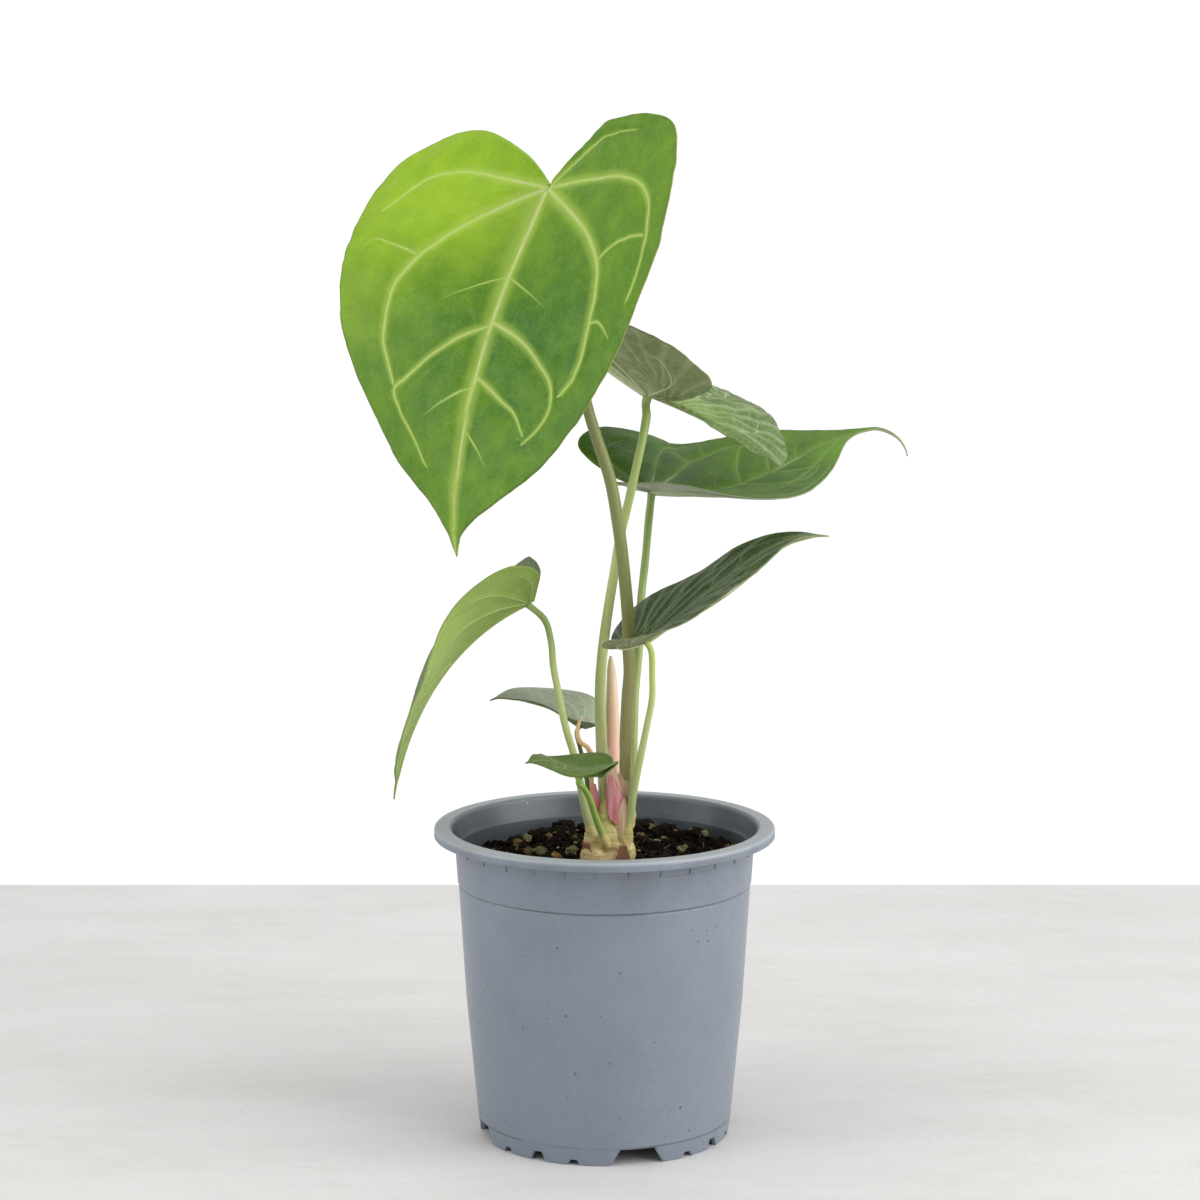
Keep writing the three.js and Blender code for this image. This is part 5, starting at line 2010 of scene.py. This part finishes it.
    def _spot(self, rng: random.Random, margin: float) -> Array:
        """Draws a place on the top, clear of the crown's middle.

        Args:
            rng: Source of the draw.
            margin: How far it stays off the wall, mm.

        Returns:
            The place, mm from the pot's axis.
        """
        while True:
            radius = (self.pot.inner_radius(self.level) - margin) * math.sqrt(rng.random())
            angle = rng.uniform(0, 2 * math.pi)
            x, y = radius * math.cos(angle), radius * math.sin(angle)
            if math.hypot(x - self.crown[0], y - self.crown[1]) > self.crown[2] - 0.5:
                return np.array((x, y, self._rest(x, y)))

    def _pebble(
        self, heap: Heap, rng: random.Random, centre: Sequence[float], size: Sequence[float], detail: int
    ) -> None:
        """Adds one rough grain.

        Args:
            heap: Where it is gathered.
            rng: Source of its turn and shape.
            centre: Its middle, mm from the pot's axis.
            size: Its radii, mm.
            detail: Subdivision of the ball.
        """
        turn = Matrix.Rotation(rng.uniform(0, 2 * math.pi), 4, "Z")
        tip = Matrix.Rotation(rng.uniform(-0.5, 0.5), 4, "X")
        place = Matrix.Translation((Vector(centre) + AXIS) * MM) @ (turn @ tip)
        bm = bmesh.new()
        bmesh.ops.create_icosphere(bm, subdivisions=detail, radius=1)
        seed = Vector((rng.uniform(0, 90), rng.uniform(0, 90), 0))
        layers = ((0.42, 1.3), (0.24, 3.4), (0.16, 8.0))[:detail]
        for vert in bm.verts:
            bulge = sum((gain * noise.noise(vert.co * scale + seed) for gain, scale in layers), 1.0)
            vert.co = place @ (vert.co * Vector(size) * bulge * MM)
        heap.add(bm)

    def _grains(
        self, name: str, material: Material, rng: random.Random, count: int, sizes: tuple[float, float],
        flatness: float,
    ) -> None:
        """Scatters grains over the top as one piece.

        Args:
            name: The piece's name.
            material: Its material.
            rng: Source of the draws.
            count: Number of grains.
            sizes: Least and largest radius, mm.
            flatness: Height share of a grain.
        """
        heap = Heap()
        for _ in range(count):
            size = rng.uniform(*sizes) * rng.uniform(0.6, 1.0)
            centre = self._spot(rng, 1.6 + size)
            centre[2] += size * 0.15
            shape = (size, size * rng.uniform(0.55, 1.0), size * flatness)
            self._pebble(heap, rng, centre, shape, 2)
        finished(name, heap.poured(), [material])

    def _lumps(self, kind: Lump, material: Material, rng: random.Random) -> None:
        """Places the larger lumps of one colour as one piece.

        Args:
            kind: Their colour.
            material: Their material.
            rng: Source of their turns and shapes.
        """
        heap = Heap()
        for x, y, radius in self.LUMPS[kind]:
            if kind is Lump.DARK:
                height = self._clump_height(x, y, radius)
            else:
                height = self._rest(x, y) + radius * 0.25
            self._pebble(heap, rng, (x, y, height), (radius, radius * 0.8, radius * 0.75), 4)
        finished(f"lumps_{kind.value}", heap.poured(), [material])

    def _fibres(self, name: str, material: Material, rng: random.Random) -> None:
        """Scatters thin bent fibres over the top as one piece.

        Args:
            name: The piece's name.
            material: Its material.
            rng: Source of the draws.
        """
        heap = Heap()
        for _ in range(self.FIBRES):
            points = [self._spot(rng, 7.0)]
            heading = rng.uniform(0, 2 * math.pi)
            for _ in range(4):
                heading += rng.uniform(-0.6, 0.6)
                step = rng.uniform(0.7, 1.9)
                following = points[-1] + np.array((math.cos(heading), math.sin(heading), 0)) * step
                following[2] = self._bare(*following[:2]) + rng.uniform(0.1, 0.9)
                points.append(following)
            line = rounded_route(np.array(points) + np.array(AXIS), 12)
            heap.add(tube(line, np.linspace(0.17, 0.06, 12) * rng.uniform(0.6, 1.2), 5))
        finished(name, heap.poured(), [material])


@dataclass
class Studio:
    """The pale table top, the white surroundings, the lamps and the camera, in mm and degrees.

    The table's depth and front are measured from the pot's axis. The ambient strength lights the
    plant, and the backdrop strength is what the camera sees. A lamp has a name, a place, a side
    and a power in watts.
    """

    table_depth: float = 385.0
    table_front: float = -1500.0
    table_width: float = 2400.0
    eye: Point = (-12.81, -1136.94, 363.5)
    tilt_down: float = 8.55
    lens: float = 100.0
    sensor: float = 36.0
    ambient: float = 0.65
    backdrop: float = 1.05

    AIM = (0.0, 0.0, 160.0)
    LAMPS = (
        ("key", (1500, -700, 700), 1700, 29.0),
        ("fill", (-1400, -500, 600), 1300, 9.5),
        ("top", (0, -100, 1900), 1700, 8.0),
    )

    def _table(self) -> None:
        """Lays the table top, whose far edge lies a little behind the pot."""
        material, bench = new_material("table_top")
        drawn = bench.stretched((0.35, 1.0, 1.0))
        body = bench.blend(bench.mottle(drawn, 22.0, 1.0), rgb(211, 209, 207), rgb(224, 223, 222))
        body = bench.cover(body, rgb(226, 225, 223), bench.mottle(drawn, 150.0, 1.0), 0.5)
        body = bench.cover(body, rgb(204, 202, 199), bench.mottle(bench.place(), 420.0, 1.0), 0.35)
        bench.finish(Base_Color=body, Roughness=0.6, Specular_IOR_Level=0.2)

        def lay(across: Array, away: Array) -> Array:
            """Gives the table's points."""
            x = (across - 0.5) * self.table_width
            y = self.table_front + (self.table_depth - self.table_front) * away
            return np.stack((x, y, np.zeros_like(x)), axis=1)

        bm = bmesh.new()
        formed_grid(bm, 8, 8, lay)
        meshed("table_top", bm, [material])

    def _surroundings(self) -> None:
        """Makes the world plain white to the camera and soft light to everything else."""
        world = bpy.data.worlds.new("white_studio")
        world.use_nodes = True
        world.node_tree.nodes.clear()
        bench = NodeBench(world.node_tree)
        seen = bench.add("ShaderNodeLightPath").outputs["Is Camera Ray"]
        strength = bench.scaled(seen, self.backdrop - self.ambient, self.ambient)
        light = bench.add("ShaderNodeBackground", {"Color": (1, 1, 1, 1), "Strength": strength})
        bench.add("ShaderNodeOutputWorld", {"Surface": light.outputs[0]})
        bpy.context.scene.world = world

    def _lamp(self, name: str, place: Point, size: float, power: float) -> None:
        """Hangs a square soft lamp.

        Args:
            name: The lamp's name.
            place: Its place, mm.
            size: Its side, mm.
            power: Its power in watts.
        """
        light = bpy.data.lights.new(name, "AREA")
        light.size = size * MM
        light.energy = power
        lamp = bpy.data.objects.new(name, light)
        lamp.location = Vector(place) * MM
        lamp.rotation_euler = (Vector(self.AIM) - Vector(place)).to_track_quat("-Z", "Y").to_euler()
        bpy.context.scene.collection.objects.link(lamp)

    def _camera(self) -> None:
        """Places the camera where the photograph was taken from."""
        data = bpy.data.cameras.new("camera")
        data.lens = self.lens
        data.sensor_width = self.sensor
        camera = bpy.data.objects.new("camera", data)
        camera.location = Vector(self.eye) * MM
        camera.rotation_euler = (math.radians(90 - self.tilt_down), 0, 0)
        bpy.context.scene.collection.objects.link(camera)
        bpy.context.scene.camera = camera

    def build(self) -> None:
        """Builds everything around the plant."""
        self._table()
        self._surroundings()
        for lamp in self.LAMPS:
            self._lamp(*lamp)
        self._camera()
        bpy.context.scene.view_settings.view_transform = "Standard"


DARK_GREEN = BladeFinish(
    "dark_leaf", rgb(40, 70, 20), rgb(112, 158, 28), rgb(128, 156, 84), rgb(130, 143, 108),
    rgb(164, 174, 144), rgb(184, 192, 160), 0.42, 0.6, net=0.09, fan=0.1, glow=0.06)
BRIGHT_GREEN = BladeFinish(
    "bright_leaf", rgb(40, 99, 8), rgb(146, 184, 20), rgb(184, 202, 112), rgb(120, 150, 66),
    rgb(158, 182, 92), rgb(190, 202, 130), 0.44, 0.74, halo=0.6, glow=0.08)
# Grey-green blade; its pale fine side veins also stand for painted sheen on its quilted ridges.
GREY_GREEN = BladeFinish(
    "grey_leaf", rgb(46, 73, 28), rgb(110, 136, 66), rgb(182, 193, 154), rgb(90, 108, 56),
    rgb(154, 166, 116), rgb(192, 200, 160), 0.46, 0.55, halo=0.25, net=0.18, fan=0.3, fan_spread=0.26,
    glow=0.06)
# Dark green blade; its pale fine side veins stand for painted sheen streaks on its ridges.
SHEEN_STREAKED_DARK = BladeFinish(
    "sheen_streaked_leaf", rgb(30, 49, 21), rgb(70, 94, 40), rgb(136, 154, 114), rgb(104, 116, 80),
    rgb(140, 150, 108), rgb(168, 178, 134), 0.46, 0.5, net=0.16, fan=0.42, fan_spread=0.24, glow=0.05)
YELLOW_GREEN = BladeFinish(
    "yellow_leaf", rgb(56, 78, 40), rgb(104, 120, 82), rgb(150, 162, 118), rgb(86, 128, 38),
    rgb(154, 177, 92), rgb(168, 188, 108), 0.48, 0.35, halo=0.4, net=0.22, fan=0.12, fan_spread=0.3,
    glow=0.1)
# Small blade; its pale grey upper colours are painted sheen, light reflected from its upper side.
SMALL_PAINTED_SHEEN = BladeFinish(
    "small_leaf", rgb(116, 130, 100), rgb(170, 180, 158), rgb(190, 198, 176), rgb(88, 108, 66),
    rgb(132, 150, 100), rgb(160, 174, 128), 0.46, 0.45, net=0.35, fan=0.2, fan_spread=0.25, glow=0.06)
YOUNG_GREEN = BladeFinish(
    "young_leaf", rgb(56, 80, 30), rgb(108, 134, 62), rgb(150, 174, 94), rgb(64, 88, 34),
    rgb(106, 134, 62), rgb(144, 172, 86), 0.44, 0.7, halo=0.5, net=0.16, fan=0.12, glow=0.08)

NO_CURL = ((0, 0, 0, 0), (0, 0, 0, 0))

# Each blade's patches are painted light and shade: light through and onto the blade, shade, and on leaf_5
# darker mottles of its own.
LEAVES = (
    Blade("leaf_1", "leaf_bright", (-18.7, -42, 334.3), 131, (71, 73), (21.5, 16), 0.04,
          (-75, -52, -67, -94), (-130, -122, -134, -146), (4, 3, -8, -1),
          ((10, 9, 6, -4), (29, 25, -1, -9)), ((-17, -15, -16, -3), (3, -2, 25, -23)), BRIGHT_GREEN,
          wave=0.8, quilt=1.1, groove=0.4, tone=0.25, crinkle=0.8, turns=170, rings=110,
          plans=(BROAD_PLAN, COMMON_PLAN), point=0.105,
          light_and_mottle_patches=(LightAndMottlePatch(0.75, -0.02, 0.36, 0.62), LightAndMottlePatch(0.25, 0.12, 0.2, 0.3), LightAndMottlePatch(0.95, 0.38, 0.22, 0.18),
                 LightAndMottlePatch(-0.85, 0.12, 0.25, 0.1), LightAndMottlePatch(-0.3, 0.42, 0.2, -0.14), LightAndMottlePatch(0.3, 0.36, 0.18, -0.16),
                 LightAndMottlePatch(0.1, 0.95, 0.2, 0.08))),
    Blade("leaf_2", "leaf_grey", (15.6, -2, 262.7), 121, (55.5, 45.5), (44, 35.5), 0.06,
          (24, 17, 9, -70), (132, 125, 122, 159), (12, 4, 12, 0),
          ((-2, -6, -5, 5), (49, 39, 32, 10)), NO_CURL, GREY_GREEN,
          wave=1.0, quilt=1.4, groove=0.45, fan_height=0.34, fan_count=12, crinkle=1.4, turns=170, rings=110,
          light_and_mottle_patches=(LightAndMottlePatch(0.2, -0.06, 0.12, 0.7), LightAndMottlePatch(-0.5, 0.3, 0.3, 0.2))),
    Blade("leaf_3", "leaf_dark", (16.2, 32, 225.5), 108, (40.5, 47), (15.5, 26.5), 0.25,
          (-1, -6, 23, 2), (-1, 5, 27, -1), (9, 4, 0, 5),
          ((22, 11, -5, 5), (22, 16, 16, 17)), ((-13, 5, -5, -12), (0, 0, 0, 0)), DARK_GREEN,
          hook=84, wave=0.5, quilt=0.8, groove=0.35, tone=0.3, crinkle=0.5, turns=150, rings=90,
          plans=(LONG_PLAN, COMMON_PLAN),
          light_and_mottle_patches=(LightAndMottlePatch(0.55, 0.12, 0.16, 0.75), LightAndMottlePatch(0.4, 0.72, 0.13, 0.7), LightAndMottlePatch(-0.5, 0.55, 0.2, 0.2))),
    Blade("leaf_4", "leaf_dark", (13.5, -19, 178.9), 75, (32, 32.5), (15, 10.5), 0.08,
          (8, 32, 35, 8), (4, 1, 9, 7), (-4, -1, -1, 4),
          ((25, 12, 2, 17), (9, 14, 4, 20)), NO_CURL, SHEEN_STREAKED_DARK,
          hook=10, sinus=0.3, wave=0.4, quilt=0.6, groove=0.22, tone=0.42, plans=(LONG_PLAN, LONG_PLAN),
          fan_turn=1.0, fan_count=15, fan_height=0.16),
    Blade("leaf_5", "leaf_green", (-26.2, -8, 190.8), 89, (31.5, 35.5), (6, 8), 0.1,
          (-5, -25, -57, -82), (185, 175, 172, 182), (5, 8, -1, 4),
          ((43, 31, 20, 15), (31, 21, 5, 8)), NO_CURL, YELLOW_GREEN,
          wave=0.3, quilt=0.35, groove=0.12, tone=0.72, point=0.3, rib=0.5,
          light_and_mottle_patches=(LightAndMottlePatch(0.3, 0.42, 0.12, -0.45), LightAndMottlePatch(0.6, 0.2, 0.1, -0.3), LightAndMottlePatch(0.4, 0.66, 0.1, -0.35),
                 LightAndMottlePatch(-0.6, 0.4, 0.3, 0.3))),
    Blade("leaf_6", "leaf_grey", (-8.4, 20, 142), 35.5, (22, 20), (5, 5), 0.08,
          (-2, 28, 22, -20), (184, 172, 186, 182), (14, 3, 2, -2),
          ((8, 18, 8, 7), (13, 14, 3, 2)), NO_CURL, SMALL_PAINTED_SHEEN,
          wave=0.25, quilt=0.35, groove=0.15, turns=90, rings=56, plans=(LONG_PLAN, LONG_PLAN)),
    Blade("leaf_7", "leaf_young", (-7.7, -34, 135), 23, (20, 19), (9, 5.5), 0.08,
          (12, 29, 20, -12), (183, 212, 203, 199), (-3, 3, -3, -4),
          ((20, 15, -2, 3), (21, 22, -4, 0)), NO_CURL, YOUNG_GREEN,
          wave=0.2, quilt=0.3, groove=0.12, turns=90, rings=56, plans=(LONG_PLAN, LONG_PLAN)),
)

GREEN = rgb(142, 162, 82)
LIGHT_GREEN = rgb(186, 199, 134)
OLIVE = rgb(124, 136, 78)
BROWN = rgb(128, 100, 70)

STALKS = (
    Stalk("petiole_1", "petiole_olive",
          ((7.5, -1, 115.5), (7.5, -2.4, 124.5), (7.5, -8, 145), (8, -12, 157), (8.7, -15.5, 168),
           (8.2, -18.6, 178), (8.1, -20, 186), (6.6, -22.5, 204), (4.5, -25, 221), (1.8, -27, 236),
           (-2.3, -29, 249), (-5.6, -30.5, 260), (-10, -33, 280), (-14.5, -35.5, 305), (-16.3, -36.2, 320)),
          (2.25, 2.1, 1.6), 5, LEAVES[0],
          StalkFinish("stalk_olive", rgb(164, 156, 106), OLIVE, rgb(92, 104, 54), 112, 334, BROWN, 0.4)),
    Stalk("petiole_2", "petiole_pale",
          ((0.5, 1.5, 115), (-0.5, 1, 130), (-1.2, 0, 143), (-1.4, -1.5, 163), (0.3, -3, 181),
           (3.5, -5, 202), (5.6, -7, 215), (8.4, -9.5, 227), (11, -10.8, 239), (13, -9.6, 248),
           (14.4, -5, 255.5)),
          (2.05, 1.7, 1.4), 4, LEAVES[1],
          StalkFinish("stalk_pale", rgb(196, 200, 146), rgb(186, 198, 130), rgb(140, 160, 88), 112, 262,
                      rgb(150, 168, 96))),
    Stalk("petiole_3", "petiole_green",
          ((9, 6.3, 113.5), (10, 8, 132), (10.4, 11, 146), (10.8, 13.5, 156), (12.2, 17.5, 170),
           (13, 22, 187), (14.6, 26, 202), (15.7, 30, 214)),
          (1.6, 1.5, 1.3), 4, LEAVES[2],
          StalkFinish("stalk_green_3", GREEN, rgb(158, 174, 104), rgb(132, 156, 82), 112, 225,
                      rgb(116, 134, 72))),
    Stalk("petiole_4", "petiole_green",
          ((7.8, -5.2, 110.5), (9.2, -6, 117.5), (10.1, -7, 124), (10.9, -8, 128.6), (13, -10.5, 139.4),
           (15, -13, 150), (16.4, -15, 158.3), (16.4, -17, 166.5)),
          (1.5, 1.2, 1.0), 3.5, LEAVES[3],
          StalkFinish("stalk_green_4", rgb(168, 172, 116), LIGHT_GREEN, rgb(180, 200, 92), 110, 178,
                      rgb(128, 146, 80), 0.25)),
    Stalk("petiole_5", "petiole_green",
          ((-4.7, -4.2, 109.5), (-6.5, -5, 116.6), (-8.9, -7, 128.8), (-11, -9, 138.4), (-13.4, -11, 147),
           (-15.8, -12.5, 159), (-17.7, -12.5, 169), (-18.6, -11.2, 178), (-20.8, -9.2, 185)),
          (1.6, 1.3, 1.05), 0, LEAVES[4],
          StalkFinish("stalk_green_5", rgb(170, 174, 124), LIGHT_GREEN, rgb(136, 160, 82), 108, 190,
                      rgb(120, 136, 76)), joint=0.26),
    Stalk("petiole_6", "petiole_green",
          ((-4.4, 5.2, 109.5), (-5.8, 8, 121.4), (-6.9, 12, 127.8), (-8.4, 16.5, 133.6)),
          (0.95, 0.85, 0.7), 2.5, LEAVES[5],
          StalkFinish("stalk_green_6", rgb(120, 132, 80), rgb(92, 116, 60), rgb(84, 110, 56), 108, 142,
                      rgb(76, 94, 50))),
    Stalk("petiole_7", "petiole_young",
          ((-0.6, -8.6, 107.6), (-1.5, -10.5, 111), (-3.3, -14.5, 117), (-5.4, -21, 124.8),
           (-7.4, -28, 129.8)),
          (1.2, 1.1, 0.85), 2.5, LEAVES[6],
          StalkFinish("stalk_young", rgb(172, 188, 116), rgb(150, 182, 86), rgb(136, 170, 74), 106, 135,
                      rgb(122, 152, 70), 0.2)),
)


NEW_SHOOT = Stem(
    "new_shoot", "shoot",
    ((3, 5.4, 114.6), (2.7, 5, 130), (2.8, 4.6, 144), (2.6, 4.5, 158), (2.2, 4.5, 170)),
    ((0, 2.1), (0.25, 2.4), (0.6, 2.35), (0.78, 2.05), (0.9, 1.6), (0.96, 1.15), (0.985, 0.75), (1, 0.3)),
    FleshFinish("shoot_skin", rgb(240, 190, 174), rgb(224, 200, 166), rgb(234, 216, 196),
                132, 164, 0.45, 130.0, 5.0, 0.38),
    ripple=0.05)
DRIED_BRACT = Stem(
    "dried_bract", "dry_bract",
    ((-3.7, 1.4, 111.5), (-4.3, 1.2, 122), (-4.8, 0.4, 131), (-5, -0.9, 136.5), (-6.3, -2.2, 139),
     (-8.6, -2.8, 140.8), (-9.5, -3, 144), (-9, -3, 147.4), (-7.8, -2.8, 150)),
    ((0, 0.7), (0.3, 0.75), (0.55, 0.95), (0.75, 1.0), (0.9, 0.7), (1, 0.25)),
    FleshFinish("bract_skin", rgb(216, 176, 124), rgb(240, 210, 164), rgb(206, 152, 104),
                118, 150, 0.5, 240.0, 3.0, 0.6),
    flat=0.45, ripple=0.12)

BEIGE = FleshFinish("cataphyll_skin", rgb(204, 168, 128), rgb(220, 196, 166), rgb(176, 132, 100),
                    110, 130, 0.45, 190.0, 6.0, 0.42)
BLUSH = FleshFinish("blush_skin", rgb(230, 160, 154), rgb(224, 196, 172), rgb(240, 212, 198),
                    120, 135, 0.5, 190.0, 6.0, 0.38)
# Pink-red skin of the small scales; its near-white streaks are painted highlights.
PINK_HIGHLIGHTED = FleshFinish("pink_skin_highlighted", rgb(204, 62, 90), rgb(226, 106, 124), rgb(250, 204, 208),
                   114, 128, 0.75, 300.0, 9.0, 0.3)
HORN = FleshFinish("thorn_skin", rgb(214, 190, 144), rgb(230, 184, 164), rgb(186, 136, 106),
                   110, 121, 0.4, 210.0, 6.0, 0.4)
DRY = FleshFinish("scale_skin", rgb(122, 80, 56), rgb(176, 126, 98), rgb(86, 58, 40),
                  96, 107, 0.6, 230.0, 3.0, 0.6)
TORN = FleshFinish("torn_skin", rgb(150, 176, 80), rgb(176, 198, 104), rgb(206, 210, 150),
                   96, 107, 0.4, 300.0)

SHEATHS = (
    Sheath("sheath", "cataphyll", (6.7, -2.3), 2.95, (109.6, 133.4), (186, 330), 0.02, BEIGE, 0.1, 0.16),
    Sheath("shoot_wrap", "cataphyll", (4.6, -1.9), 3.55, (113, 139), (186, 330), -0.34, BLUSH, -0.1, 0.12,
           swap=False),
    Sheath("pink_wrap", "cataphyll", (4.9, -2.6), 3.9, (112.0, 129.4), (205, 345), -0.42, PINK_HIGHLIGHTED, -0.1, 0.06,
           waist=0.25, swap=False),
    Sheath("pink_scale", "cataphyll", (-3.3, 1.0), 2.1, (109, 125.4), (188, 322), 0.1, PINK_HIGHLIGHTED, 0.1, 0.1,
           swap=False),
    Sheath("thorn_scale", "cataphyll", (6.3, -4.3), 2.55, (106.4, 121.4), (196, 336), 0.1, HORN, 0.0, 0.06,
           swap=False),
    Sheath("scale_left", "dry_scale", (1.3, 0), 9.9, (97.0, 105.6), (190, 242), 0.2, DRY, 1.1, 0.4, 0.5),
    Sheath("scale_right", "dry_scale", (1.3, 0), 9.9, (97.0, 105.0), (283, 322), -0.1, DRY, 0.9, 0.4, 0.5),
    Sheath("torn_ring", "crown", (6.4, -4.4), 2.7, (100.4, 103.2), (215, 345), 0.0, TORN, 0.3, 0.7, 0.3,
           swap=False),
)


def main() -> None:
    """Builds the plant, its pot and the studio."""
    logging.basicConfig(level=logging.INFO, format="%(message)s")
    pot = Pot()
    pot.build()
    Soil(pot).build()
    NEW_SHOOT.build()
    DRIED_BRACT.build()
    stems = [(stalk.route[0], stalk.route[1], stalk.radii[0]) for stalk in STALKS]
    stems += [(stem.route[0], stem.route[1], stem.girth[0][1]) for stem in (NEW_SHOOT, DRIED_BRACT)]
    Crown(stems).build()
    for piece in (*SHEATHS, *STALKS, *LEAVES):
        piece.build()
    Studio().build()


if __name__ == "__main__":
    main()
